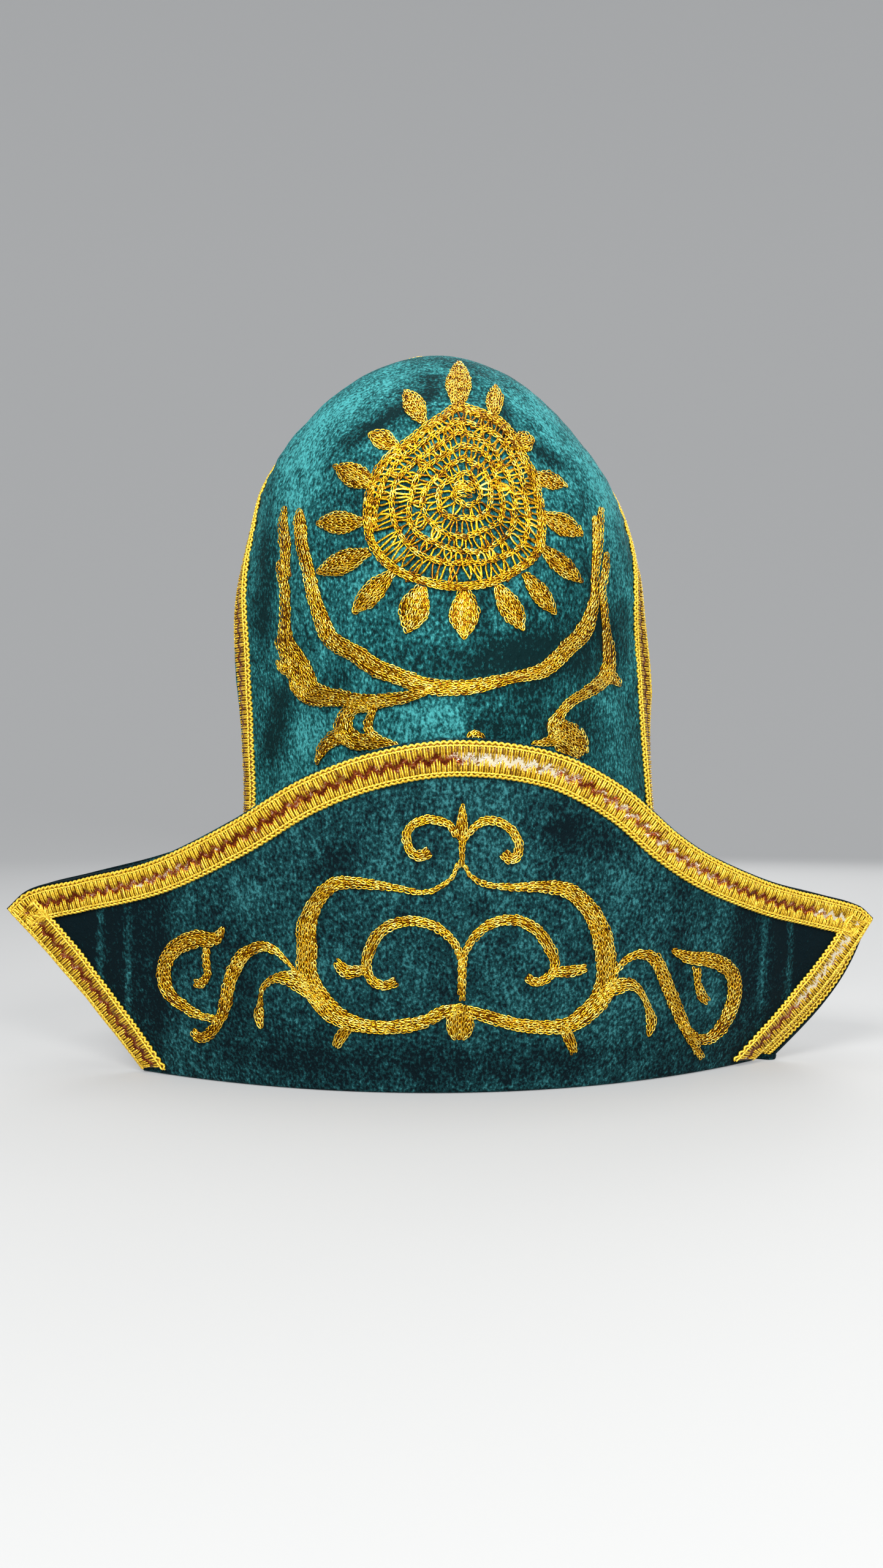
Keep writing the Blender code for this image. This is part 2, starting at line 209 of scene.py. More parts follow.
def crown_ring(row, angles):
    """Points of one section of the dome, at angles round from the middle of the front."""
    angles = np.asarray(angles, float)
    facing = np.cos(np.radians(angles))
    ridge = np.where(angles % 360 > 180, row.ridge_left, row.ridge_right)
    x = row.centre_x + row.half_width * np.sin(np.radians(angles))
    y = row.centre_y - np.copysign(row.half_depth * np.abs(facing) ** (2 * ridge), facing)
    z = np.full_like(x, row.height)
    grooves = np.where(facing > 0, mark_amount(FRONT_GROOVES, x, z), mark_amount(BACK_GROOVES, x, z))
    y += grooves * facing * min(1.0, row.half_width / SMOOTH_TOP)
    return np.stack((x, y, z), axis=1)


def inside_wall(row, below):
    """The section inside the wall: narrower and shallower at the sides, and lower near the top."""
    slope = math.hypot(row.height - below.height, below.half_width - row.half_width) or 1.0
    level = max(0.0, below.half_width - row.half_width) / slope if row.height > SHOULDER_HEIGHT else 0.0
    return row._replace(
        height=row.height - CROWN_WALL * level,
        half_width=row.half_width * (1 - SEAM_ALLOWANCE / CROWN_ROWS[WIDEST].half_width),
        half_depth=row.half_depth * (1 - CROWN_WALL / CROWN_ROWS[WIDEST].half_depth),
    )


def panel_grids(facing):
    """Outer and inner points of one panel, from seam to seam and from the base to the top."""
    part = np.linspace(0, 1, PANEL_COLUMNS + 1)
    part = part / 2 + (1 - np.cos(math.pi * part)) / 4
    outer, inner = [], []
    below = crown_row(0)
    for ring in range(PANEL_RINGS + 1):
        row = crown_row(ring / PANEL_RINGS)
        start, end = (-row.seam_left, row.seam_right) if facing < 0 else (row.seam_right, 360 - row.seam_left)
        angles = start + (end - start) * part
        shift = np.array((0, facing * SEAM_GAP / 2, 0))
        outer.append(crown_ring(row, angles) + shift)
        inner.append(crown_ring(inside_wall(row, below), angles) + shift)
        below = row
    return np.array(outer), np.array(inner)


def grid_normals(grid):
    """Unit normals of a grid, on the side from which its columns run to the right and its rows up."""
    normal = np.cross(np.gradient(grid, axis=1), np.gradient(grid, axis=0))
    length = np.linalg.norm(normal, axis=2, keepdims=True)
    return np.where(length > 1e-6, normal / np.maximum(length, 1e-6), (0.0, 0.0, 1.0))


def crush_relief(grid, size, depth):
    """Small uneven swells of the cloth, as a height for each point. The size is in millimetres."""
    heights = [noise.noise(Vector(point) / size) + 0.5 * noise.noise(Vector(point) / size * 2.3)
               for point in grid.reshape(-1, 3)]
    return depth * np.array(heights).reshape(grid.shape[:2])


def seam_puckers(grid, reach, pitch, depth):
    """Short puckers that run in from both seams, where the braid's stitches pull the cloth."""
    steps = np.linalg.norm(np.diff(grid, axis=1), axis=2)
    from_left = np.concatenate((np.zeros((len(grid), 1)), np.cumsum(steps, axis=1)), axis=1)
    from_seam = np.minimum(from_left, from_left[:, -1:] - from_left)
    height = grid[:, :, 2]
    wave = np.sin(2 * math.pi * height / pitch + 1.7 * np.sin(height / 23) + from_seam / 9)
    fade = np.exp(-((from_seam - 8) / reach) ** 2)
    clear = np.clip((grid[:, -1, 0] - grid[:, 0, 0]) / 60, 0, 1)[:, None]
    return depth * wave * fade * np.abs(clear)


def numbered(grid):
    """The numbers of a grid's points, row by row."""
    return np.arange(grid.shape[0] * grid.shape[1]).reshape(grid.shape[:2])


def grid_faces(index):
    """The faces between the numbered points of a grid."""
    return np.stack((index[:-1, :-1], index[:-1, 1:], index[1:, 1:], index[1:, :-1]), axis=-1).reshape(-1, 4)


def cloth_wall(name, outer, inner, tone):
    """One closed wall of cloth between two grids. The nap's tone, with painted light and shade, is kept for
    the material.
    """
    index = numbered(outer)
    count = index.size
    quads = grid_faces(index)
    faces = [*quads.tolist(), *(quads[:, ::-1] + count).tolist()]
    edge = np.concatenate((index[0, :-1], index[:-1, -1], index[-1, :0:-1], index[:0:-1, 0]))
    following = np.roll(edge, -1)
    faces += np.stack((edge, edge + count, following + count, following), axis=-1).tolist()
    points = np.concatenate((outer.reshape(-1, 3), inner.reshape(-1, 3)))
    data = bpy.data.meshes.new(name)
    data.from_pydata((points * MM).tolist(), [], faces)
    nap_light_shade = data.attributes.new("nap_light_shade", "FLOAT", "POINT")
    nap_light_shade.data.foreach_set("value", np.concatenate((tone.ravel(), tone.ravel())))
    mesh = bmesh.new()
    mesh.from_mesh(data)
    bmesh.ops.remove_doubles(mesh, verts=mesh.verts, dist=1e-6)
    bmesh.ops.recalc_face_normals(mesh, faces=mesh.faces)
    mesh.to_mesh(data)
    mesh.free()
    data.shade_smooth()
    data.set_sharp_from_angle(angle=math.radians(55))
    return data


def add_piece(name, data, material, slot, *nodes):
    """A finished piece of the hat on its body, standing for its CAD nodes."""
    piece = bpy.data.objects.new(name, data)
    bpy.context.scene.collection.objects.link(piece)
    data.materials.append(material)
    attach(piece, "root")
    if nodes:
        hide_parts(*nodes)


# The pile lies in clouds of several sizes. Each lightens and darkens the cloth, and some also raise it.
COMBED = (1.0, 1.0, 0.7)
NAP_LIGHT_SHADE_WEIGHT = 0.40
LIE_BASE = 0.44
CrushCloud = namedtuple("CrushCloud", "per_metre detail lie relief")
CRUSH_CLOUDS = table(
    CrushCloud,
    (900, 3, 1.9, 0.7),
    (330, 3, 0.65, 1.0),
    (75, 2, 0.55, 0.8),
    (20, 1, 0.45, 0.0),
)
DARK_LIE = 0.18
MIDDLE_LIE = 0.52
LIGHT_LIE = 0.92
SHEEN_TINT = (0.25, 0.80, 0.86, 1)


def set_inputs(made, values):
    """Gives a node's inputs their plain values."""
    for name, value in values.items():
        made.inputs[name].default_value = value


def node(tree, kind, values=None, **settings):
    """A shader node with the plain values of its inputs and its settings."""
    made = tree.nodes.new(kind)
    for key, value in settings.items():
        setattr(made, key, value)
    set_inputs(made, values or {})
    return made


def join(tree, giver, output, taker, socket):
    """Links an output of one node to an input of another."""
    tree.links.new(giver.outputs[output], taker.inputs[socket])


def effect_group(name, inputs, outputs):
    """A node group with these inputs and outputs, and the nodes inside it that carry them."""
    group = bpy.data.node_groups.new(name, "ShaderNodeTree")
    for way, sockets in (("INPUT", inputs), ("OUTPUT", outputs)):
        for label, kind in sockets.items():
            group.interface.new_socket(label, in_out=way, socket_type=kind)
    return group, node(group, "NodeGroupInput"), node(group, "NodeGroupOutput")


def new_material(name):
    """A material with its node tree and its shader."""
    material = bpy.data.materials.new(name)
    material.use_nodes = True
    return material, material.node_tree, material.node_tree.nodes["Principled BSDF"]


def add_bump(tree, shader, source, output, strength, distance):
    """Raises a surface by an output of a node. The distance is in metres."""
    bump = node(tree, "ShaderNodeBump", {"Strength": strength, "Distance": distance})
    join(tree, source, output, bump, "Height")
    join(tree, bump, "Normal", shader, "Normal")


def sized_noise(tree, coordinates, per_metre, detail):
    """Cloudy noise with this many clouds in a metre."""
    cloud = node(tree, "ShaderNodeTexNoise", {"Scale": per_metre, "Detail": detail, "Roughness": 0.6})
    tree.links.new(coordinates, cloud.inputs["Vector"])
    return cloud.outputs["Fac"]


def weighted(tree, value, centre, weight, base):
    """base + (value - centre) * weight."""
    shifted = node(tree, "ShaderNodeMath", operation="SUBTRACT")
    tree.links.new(value, shifted.inputs[0])
    shifted.inputs[1].default_value = centre
    scaled = node(tree, "ShaderNodeMath", operation="MULTIPLY_ADD")
    tree.links.new(shifted.outputs[0], scaled.inputs[0])
    scaled.inputs[1].default_value = weight
    if isinstance(base, float):
        scaled.inputs[2].default_value = base
    else:
        tree.links.new(base, scaled.inputs[2])
    return scaled.outputs[0]


def velvet_crush_group():
    """Lie of a crushed pile: flecks, small patches and broad patches, over the cloth's tone with its painted
    light and shade.
    """
    group, given, out = effect_group("velvet_crush", {"Nap light shade": "NodeSocketFloat"},
                                     {"Lie": "NodeSocketFloat", "Relief": "NodeSocketFloat"})
    place = node(group, "ShaderNodeTexCoord")
    combed = node(group, "ShaderNodeMapping", {"Scale": COMBED})
    join(group, place, "Object", combed, "Vector")
    lie = weighted(group, given.outputs["Nap light shade"], 0.0, NAP_LIGHT_SHADE_WEIGHT, LIE_BASE)
    relief = 0.5
    for cloud in CRUSH_CLOUDS:
        clouded = sized_noise(group, combed.outputs["Vector"], cloud.per_metre, cloud.detail)
        lie = weighted(group, clouded, 0.5, cloud.lie, lie)
        if cloud.relief:
            relief = weighted(group, clouded, 0.5, cloud.relief, relief)
    group.links.new(lie, out.inputs["Lie"])
    group.links.new(relief, out.inputs["Relief"])
    return group


def velvet(name, dark, middle, light, sheen):
    """Crushed velvet from its shadow, body and lit colours."""
    material, tree, shader = new_material(name)
    nap_light_shade = node(tree, "ShaderNodeAttribute", attribute_name="nap_light_shade")
    crush = node(tree, "ShaderNodeGroup", node_tree=VELVET_CRUSH)
    colour = node(tree, "ShaderNodeValToRGB")
    stops = colour.color_ramp.elements
    stops[0].position = DARK_LIE
    stops[0].color = dark
    stops[1].position = LIGHT_LIE
    stops[1].color = light
    stops.new(MIDDLE_LIE).color = middle
    join(tree, nap_light_shade, "Fac", crush, "Nap light shade")
    join(tree, crush, "Lie", colour, "Fac")
    join(tree, colour, "Color", shader, "Base Color")
    add_bump(tree, shader, crush, "Relief", strength=0.75, distance=0.0011)
    set_inputs(shader, {"Roughness": 0.75, "Specular IOR Level": 0.04, "Sheen Weight": sheen,
                        "Sheen Roughness": 0.42, "Sheen Tint": SHEEN_TINT})
    return material


VELVET_CRUSH = velvet_crush_group()
CROWN_VELVET = velvet("crown_velvet", dark=(0.001, 0.010, 0.011, 1), middle=(0.006, 0.060, 0.064, 1),
                      light=(0.045, 0.250, 0.255, 1), sheen=0.03)

crown_faces = {}
for side, facing, nap_light_shade_marks in (("front", -1, FRONT_NAP_LIGHT_SHADE), ("back", 1, BACK_NAP_LIGHT_SHADE)):
    outer, inner = panel_grids(facing)
    normals = grid_normals(outer)
    relief = crush_relief(outer, size=11.0, depth=0.45)
    relief += seam_puckers(outer, reach=6.0, pitch=8.5, depth=0.55)
    relief *= np.clip((CROWN_ROWS[-1].height - outer[:, :, 2]) / RELIEF_FADE, 0, 1)
    outer = outer + normals * relief[:, :, None]
    crown_faces[side] = outer
    # The nap's tone holds painted light and shade, and painted shade that follows the relief.
    tone = mark_amount(nap_light_shade_marks, outer[:, :, 0], outer[:, :, 2]) - relief * RELIEF_SHADE
    panel_mesh = cloth_wall(f"crown_{side}_velvet", outer, inner, tone)
    add_piece(f"crown_{side}_velvet", panel_mesh, CROWN_VELVET, "crown_velvet", f"crown_{side}_panel")


# The brim: two flaps of the same velvet, folded up at the base and slit at the sides, so that each ends in
# two pointed wing tips. They are stiffened inside, and soft upright grooves show near the tips.
FLAP_WALL = 2.4
FOLD_RADIUS = 2.7
FOLD_INSET = 0.8
FOLD_CENTRE_OUT = 1.6
FLAP_BULGE = 2.6
FOOT_FADE = 5
FOLD_PLAIN = 6
TOP_EDGE_DEPTH = 86.0
TIP_DEPTH = 2.0
SLIT_CLEARANCE = 0.3
FLAP_COLUMNS = 210
FLAP_ROWS = 52

EdgeRow = namedtuple("EdgeRow", "share height")
EDGE_ROWS = table(
    EdgeRow,
    (-1.00, 71),
    (-0.95, 79),
    (-0.83, 84.9),
    (-0.65, 93.9),
    (-0.48, 109.6),
    (-0.34, 125.9),
    (-0.19, 136.8),
    (-0.02, 141.4),
    (0.18, 136.5),
    (0.33, 122.8),
    (0.455, 104.4),
    (0.55, 94.0),
    (0.71, 82.4),
    (0.86, 75.1),
    (0.96, 69.8),
    (1.00, 64.0),
)

Flap = namedtuple("Flap", "facing foot_left foot_right tip_left tip_right bulge_left bulge_right")
FRONT_FLAP = Flap(-1, 0.0, 0.0, 190.3, 190.0, -1.6, 4.8)
BACK_FLAP = Flap(1, 0.0, 12.5, 189.5, 190.4, -1.6, 7.0)

FLAP_GROOVES = table(
    Mark,
    (-157, 62, 52, 86, 6.0, 1.4),
    (-126, 52, 70, 88, 7.0, 1.2),
    (128, 48, 70, 92, 6.0, 1.2),
    (150, 52, 56, 94, 6.0, 1.4),
)
# Light and dark places of the pile on the flaps: painted shade over the wing tips and along the fold, and
# painted highlights in upright streaks near the tips.
FLAP_NAP_LIGHT_SHADE = table(
    Mark,
    (-160, 50, 100, 90, 36.0, -1.5),
    (-149, 56, 50, 87, 2.2, 1.5),
    (-137, 50, 60, 87, 1.8, 1.2),
    (-124, 46, 66, 88, 3.0, -0.6),
    (-112, 50, 60, 88, 3.0, 0.35),
    (160, 50, 100, 90, 36.0, -1.5),
    (147, 50, 60, 94, 2.0, 1.6),
    (133, 52, 70, 93, 2.0, 1.2),
    (122, 50, 70, 92, 2.4, -0.5),
    (108, 60, 80, 91, 5.0, 0.5),
    (90, 66, 80, 90, 4.0, -0.45),
    (0, 12, 190, 0, 8.0, -0.5),
    (-52, 92, 40, 40, 7.0, -0.5),
    (44, 104, 40, -20, 6.0, -0.5),
    (0, 84, 56, 4, 12.0, 0.25),
    (-88, 40, 60, 80, 8.0, -0.35),
)


def edge_height(share):
    """Height of the brim's free edge, smooth through the rows of its table."""
    at = max(i for i, row in enumerate(EDGE_ROWS[:-1]) if row.share <= share or i == 0)
    start, end = EDGE_ROWS[at], EDGE_ROWS[at + 1]
    before, after = EDGE_ROWS[max(at - 1, 0)], EDGE_ROWS[min(at + 2, len(EDGE_ROWS) - 1)]
    span = end.share - start.share
    part = (share - start.share) / span
    slope_in = (end.height - before.height) / (end.share - before.share) * span
    slope_out = (after.height - start.height) / (after.share - start.share) * span
    return eased(start.height, end.height, slope_in, slope_out, part)


def fold_line(flap, share, out):
    """Points beside the dome's base section, out from its face."""
    base = CROWN_ROWS[0]
    foot = np.where(share < 0, flap.foot_left, flap.foot_right)
    side_x, side_y = 2 * base.half_depth * share, np.full_like(share, base.half_width)
    length = np.hypot(side_x, side_y)
    x = base.centre_x + base.half_width * share + foot * share ** FOOT_FADE + side_x / length * out
    y = base.half_depth * (1 - share ** 2) + side_y / length * out
    return x, np.maximum(y, SLIT_CLEARANCE)


def flap_middle(flap, share, rise):
    """Middle of the flap's cloth, from the fold at rise 0 to the free edge at rise 1."""
    share, rise = np.broadcast_arrays(np.asarray(share, float), np.asarray(rise, float))
    foot_x, foot_y = fold_line(flap, share, FOLD_CENTRE_OUT + FOLD_RADIUS - FLAP_WALL / 2)
    tip = np.where(share < 0, flap.tip_left, flap.tip_right)
    round_part = np.cos(math.pi * share / 2) ** 2 / 2 + (1 - share ** 2) / 2
    top_y = TIP_DEPTH + (TOP_EDGE_DEPTH - TIP_DEPTH) * round_part
    middle = np.sin(math.pi * rise)
    side_bulge = np.where(share < 0, flap.bulge_left, flap.bulge_right)
    top_z = np.array([edge_height(value) for value in share.ravel()]).reshape(share.shape)
    x = foot_x + (tip * share - foot_x) * rise + side_bulge * share ** FOOT_FADE * middle
    z = FOLD_RADIUS + (top_z - FOLD_RADIUS) * rise
    y = foot_y + (top_y - foot_y) * rise + FLAP_BULGE * middle * (1 - np.abs(share) ** 3)
    y -= mark_amount(FLAP_GROOVES, x, z) * (1 - np.abs(share) ** 9)
    return np.stack((x, flap.facing * y, z), axis=-1)


def unit(vectors):
    """The same directions, one long."""
    return vectors / np.maximum(np.linalg.norm(vectors, axis=-1, keepdims=True), 1e-9)


def flap_normal(flap, share, rise):
    """Outward direction of the flap's cloth."""
    share, rise = np.broadcast_arrays(np.asarray(share, float), np.asarray(rise, float))
    step = 0.01
    up = (flap_middle(flap, share, np.minimum(rise + step, 1))
          - flap_middle(flap, share, np.maximum(rise - step, 0)))
    along = (flap_middle(flap, np.minimum(share + step, 1), rise)
             - flap_middle(flap, np.maximum(share - step, -1), rise))
    return unit(np.cross(along, up) * -flap.facing)


def flap_grids(flap):
    """Outer and inner points of a flap, from under the dome's wall round the fold and up to the edge."""
    share = np.linspace(-1, 1, FLAP_COLUMNS + 1)
    outer, inner = [], []
    for out, turn in ((-FOLD_INSET, 0), (FOLD_CENTRE_OUT, 0), (FOLD_CENTRE_OUT, 30), (FOLD_CENTRE_OUT, 60)):
        for grid, radius in ((outer, FOLD_RADIUS), (inner, FOLD_RADIUS - FLAP_WALL)):
            x, y = fold_line(flap, share, out + radius * math.sin(math.radians(turn)))
            z = np.full_like(x, FOLD_RADIUS - radius * math.cos(math.radians(turn)))
            grid.append(np.stack((x, flap.facing * y, z), axis=1))
    for rise in np.linspace(0, 1, FLAP_ROWS + 1):
        middle = flap_middle(flap, share, rise)
        out = flap_normal(flap, share, rise) * FLAP_WALL / 2
        outer.append(middle + out)
        inner.append(middle - out)
    return np.array(outer), np.array(inner)


# The flaps use the crown's velvet with darker colours: painted shade.
SHADED_BRIM_VELVET = velvet("brim_velvet", dark=(0.001, 0.005, 0.007, 1), middle=(0.004, 0.030, 0.034, 1),
                     light=(0.028, 0.135, 0.145, 1), sheen=0.01)

flap_faces, flap_linings = {}, {}
for side, flap in (("front", FRONT_FLAP), ("back", BACK_FLAP)):
    outer, inner = flap_grids(flap)
    flap_linings[side] = inner
    tone = mark_amount(FLAP_NAP_LIGHT_SHADE, outer[:, :, 0] * -flap.facing, outer[:, :, 2])
    shown = outer if flap.facing < 0 else outer[:, ::-1]
    hidden = inner if flap.facing < 0 else inner[:, ::-1]
    normals = grid_normals(shown)
    fade = np.clip((shown[:, :, 2] - FOLD_PLAIN) / RELIEF_FADE, 0, 1)
    relief = crush_relief(shown, size=13.0, depth=0.4) * fade
    shown = shown + normals * relief[:, :, None]
    flap_mesh = cloth_wall(f"brim_{side}_velvet", shown, hidden, tone if flap.facing < 0 else tone[:, ::-1])
    add_piece(f"brim_{side}_velvet", flap_mesh, SHADED_BRIM_VELVET, "brim_velvet", f"brim_{side}_flap")
    flap_faces[side] = shown


# The braid: machine made gimp of yellow metallic yarn, 13.5 mm wide. It has scalloped picot edges, close
# ribs across it, and a strip of foil that shows through a saw-tooth opening along its middle. It is sewn
# down flat over the seams of the dome and inside the free edges of the brim.
BRAID_WIDTH = 13.5
BRAID_INSET = 0.8
BRAID_LIFT = 0.45
BRAID_BODY = 0.75
RIB_PITCH = 2.07
RIB_PAIR = 0.84
RIB_RADIUS = 0.40
RIB_START = 5.6
RIB_HEIGHT = 0.25
RIB_ARCH = (0.0, 0.22, 0.2, -0.1)
RIB_SLANT = 0.12
RIB_UNEVEN = 0.05
RIB_TONE = 0.52
RIB_TONE_SPREAD = 0.16
YARN_SIDES = 5
YARN_END = 0.55
BODY_STEP = 2.0
BODY_SECTION = ((-6.2, 0.05), (-6.2, 0.55), (-3.4, 0.75), (0, 0.70), (3.4, 0.75), (6.2, 0.55), (6.2, 0.05))
# The body is painted dark under the ribs: painted shade in the gaps between them.
BODY_SHADE_TONE = -0.4
TOOTH_PITCH = 6.2
TOOTH_REACH = 1.4
WINDOW_WIDTH = 1.9
PICOT_PITCH = 2.3
PICOT_REACH = 0.75
PICOT_RADIUS = 0.55
PICOT_STEPS = 6
PICOT_START = 5.9
PICOT_HEIGHT = 0.55
PICOT_WAVE = 0.35
PICOT_TONE = 0.68
CORD_RADIUS = 0.42
CORD_START = 5.15
CORD_HEIGHT = 1.12
CORD_TWIST = 0.16
CORD_TWIST_PITCH = 1.6
CORD_TONE = 0.8
FOIL_HALF_WIDTH = 2.5
FOIL_INSET = 1.0
FOIL_FACETS = 4
FOIL_HEIGHT = 0.06
FOIL_KINK = 0.16
FOIL_THICKNESS = 0.15
FOIL_TONE = 0.15
FOIL_TONE_SPREAD = 0.3
SEAM_BRAID_LIFT = 0.2
SEAM_BRAID_FOOT = 12.0
CREST_BACK = 3.5
SEAM_BRAID_STEPS = 170
ANGLE_REACH = 60
TURNED_FOOT = 0.4
FOIL_GLINTS = table(
    Mark,
    (20, 140, 46, 0, 12.0, 2.0),
    (82, 100, 90, -35, 14.0, 0.5),
    (-122, 84, 40, 10, 10.0, 0.4),
    (166, 52, 60, 58, 16.0, 1.3),
)


def cloth_tree(grid):
    """The faces of a grid of points, for finding places on them."""
    return BVHTree.FromPolygons(grid.reshape(-1, 3).tolist(), grid_faces(numbered(grid)).tolist())


def away(tree, point, outside):
    """Direction square to the cloth next to a point, on the side towards a given direction."""
    normal = tree.find_nearest(point)[1]
    return normal if normal.dot(outside) > 0 else -normal


def edge_tracks(tree, path, outside):
    """Outer edge, middle and inner edge of a braid that lies inside an edge of the cloth, with normals."""
    path = [Vector(point) for point in path]
    last = len(path) - 1
    normals = [away(tree, point, outside) for point in path]
    spots, offs = [], []
    for i, point in enumerate(path):
        before = path[i] - path[i - 1] if i else path[1] - path[0]
        after = path[i + 1] - path[i] if i < last else path[i] - path[i - 1]
        sides = [normals[i].cross(step.normalized()).normalized() for step in (before, after)]
        across = (sides[0] + sides[1]) / (1 + sides[0].dot(sides[1]))
        if i in (0, last):
            across = Vector((across.x, across.y, 0)) * across.length_squared / (across.x ** 2 + across.y ** 2)
        line, line_off = [], []
        for part in (0, 0.5, 1):
            spot = tree.find_nearest(point + across * (BRAID_INSET + BRAID_WIDTH * part))[0]
            line.append(spot)
            line_off.append(away(tree, spot, outside))
        spots.append(line)
        offs.append(line_off)
    return np.array(spots), np.array(offs)


def gone_along(path):
    """The distance gone at each point of a path."""
    return np.concatenate(((0.0,), np.cumsum(np.linalg.norm(np.diff(path, axis=0), axis=1))))


def read_at(places, gone, path):
    """The values of a path at distances along it."""
    return np.stack([np.interp(places, gone, column) for column in path.T], axis=-1)


def laid(tracks, normals, distance, reach, height):
    """Places on a braid: a distance along it, a reach from its middle line, and a height over the cloth."""
    along = gone_along(tracks[:, 1])
    distance, reach, height = np.broadcast_arrays(distance, reach, height)
    share = reach / (BRAID_WIDTH / 2)
    weights = (share * (share - 1) / 2, 1 - share ** 2, share * (share + 1) / 2)
    spot, off = 0.0, 0.0
    for track, weight in enumerate(weights):
        spot = spot + read_at(distance, along, tracks[:, track]) * weight[..., None]
        off = off + read_at(distance, along, normals[:, track]) * weight[..., None]
    off = unit(off)
    return spot + off * height[..., None], off


def tubes(centres, ups, radius, sides, closed=False):
    """Yarns along rows of centre points, shape (yarns, points, 3), with ends drawn in: points and faces."""
    yarns, points = centres.shape[:2]
    if closed:
        ahead = np.roll(centres, -1, axis=1) - np.roll(centres, 1, axis=1)
    else:
        ahead = np.gradient(centres, axis=1)
    ahead = unit(ahead)
    beside = unit(np.cross(ahead, ups))
    over = np.cross(beside, ahead)
    turns = 2 * math.pi * np.arange(sides) / sides + math.pi / sides
    ring = beside[:, :, None] * np.cos(turns)[:, None] + over[:, :, None] * np.sin(turns)[:, None]
    scale = np.full(points, radius)
    if not closed:
        scale[[0, -1]] *= YARN_END
    body = centres[:, :, None] + ring * scale[:, None, None]
    first = np.arange(yarns)[:, None, None] * points * sides
    lap = np.arange(points if closed else points - 1)[:, None]
    corner = np.arange(sides)
    ahead_lap = (lap + 1) % points
    quads = np.stack((
        first + lap * sides + corner,
        first + lap * sides + (corner + 1) % sides,
        first + ahead_lap * sides + (corner + 1) % sides,
        first + ahead_lap * sides + corner,
    ), axis=-1).reshape(-1, 4)
    caps = []
    if not closed:
        start = np.arange(yarns)[:, None] * points * sides
        caps = [(start + corner[::-1]), (start + (points - 1) * sides + corner)]
    return body.reshape(-1, 3), quads.tolist() + [face for cap in caps for face in cap.tolist()]


def joined_mesh(name, parts):
    """One mesh of several (points, faces, tone) parts. The tone is kept for the material."""
    points, faces, tones = [], [], []
    count = 0
    for part_points, part_faces, tone in parts:
        points.append(part_points)
        faces += [[corner + count for corner in face] for face in part_faces]
        tones.append(np.broadcast_to(tone, len(part_points)))
        count += len(part_points)
    data = bpy.data.meshes.new(name)
    data.from_pydata((np.concatenate(points) * MM).tolist(), [], faces)
    shade = data.attributes.new("tone", "FLOAT", "POINT")
    shade.data.foreach_set("value", np.concatenate(tones).astype(np.float32))
    data.shade_smooth()
    return data


def closed_strip(grid):
    """Points and faces of a solid strip from its rows of points, each row a lap round its section."""
    index = numbered(grid)
    faces = grid_faces(np.concatenate((index, index[:, :1]), axis=1)).tolist()
    return grid.reshape(-1, 3), faces + [index[0, ::-1].tolist(), index[-1].tolist()]


def tooth(distance):
    """A saw-tooth wave, 0 to 1 and back, one for each tooth of the braid."""
    return np.abs((distance / TOOTH_PITCH) % 1 * 2 - 1)


def gimp_parts(tracks, normals, lift, rng):
    """Body, ribs, cords and picots of a braid. The body's dark colour is painted shade between the ribs."""
    length = np.linalg.norm(np.diff(tracks[:, 1], axis=0), axis=1).sum()
    parts = []
    steps = np.arange(0, length, BODY_STEP)
    reach, high = np.array(BODY_SECTION).T
    body, _ = laid(tracks, normals, steps[:, None], reach[None], high[None] + lift)
    parts.append((*closed_strip(body), BODY_SHADE_TONE))

    ribs_middle = np.arange(RIB_PITCH, length - RIB_PITCH / 2, RIB_PITCH)
    places = (ribs_middle[:, None] + np.array((-RIB_PAIR / 2, RIB_PAIR / 2))).ravel()
    for side in (-1, 1):
        inner_end = TOOTH_REACH * (2 * tooth(places) - 1) + side * WINDOW_WIDTH / 2
        part = np.linspace(0, 1, len(RIB_ARCH))
        ribs = side * RIB_START + (inner_end[:, None] - side * RIB_START) * part
        slant = places[:, None] + (part - 0.5) * rng.normal(0.0, RIB_SLANT, (len(places), 1))
        rise = lift + BRAID_BODY + RIB_HEIGHT + np.array(RIB_ARCH)
        rise = rise + rng.normal(0, RIB_UNEVEN, (len(places), 1))
        centres, ups = laid(tracks, normals, slant, ribs, rise)
        points, faces = tubes(centres, ups, RIB_RADIUS, YARN_SIDES)
        tone = np.repeat(rng.normal(RIB_TONE, RIB_TONE_SPREAD, len(places)), len(part) * YARN_SIDES)
        parts.append((points, faces, tone))

        turns = np.arange(0, length, PICOT_PITCH / PICOT_STEPS)
        wave = np.abs(np.sin(math.pi * turns / PICOT_PITCH))
        reach = side * (PICOT_START + PICOT_REACH * wave)
        rise = lift + PICOT_HEIGHT + PICOT_WAVE * np.cos(2 * math.pi * turns / PICOT_PITCH)
        centres, ups = laid(tracks, normals, turns[None], reach[None], rise[None])
        parts.append((*tubes(centres, ups, PICOT_RADIUS, YARN_SIDES), PICOT_TONE))
        twist = 2 * math.pi * turns / CORD_TWIST_PITCH
        reach = side * (CORD_START + CORD_TWIST * np.sin(twist))
        rise = lift + CORD_HEIGHT + CORD_TWIST * np.cos(twist)
        centres, ups = laid(tracks, normals, turns[None], reach[None], rise[None])
        parts.append((*tubes(centres, ups, CORD_RADIUS, YARN_SIDES), CORD_TONE))
    return parts


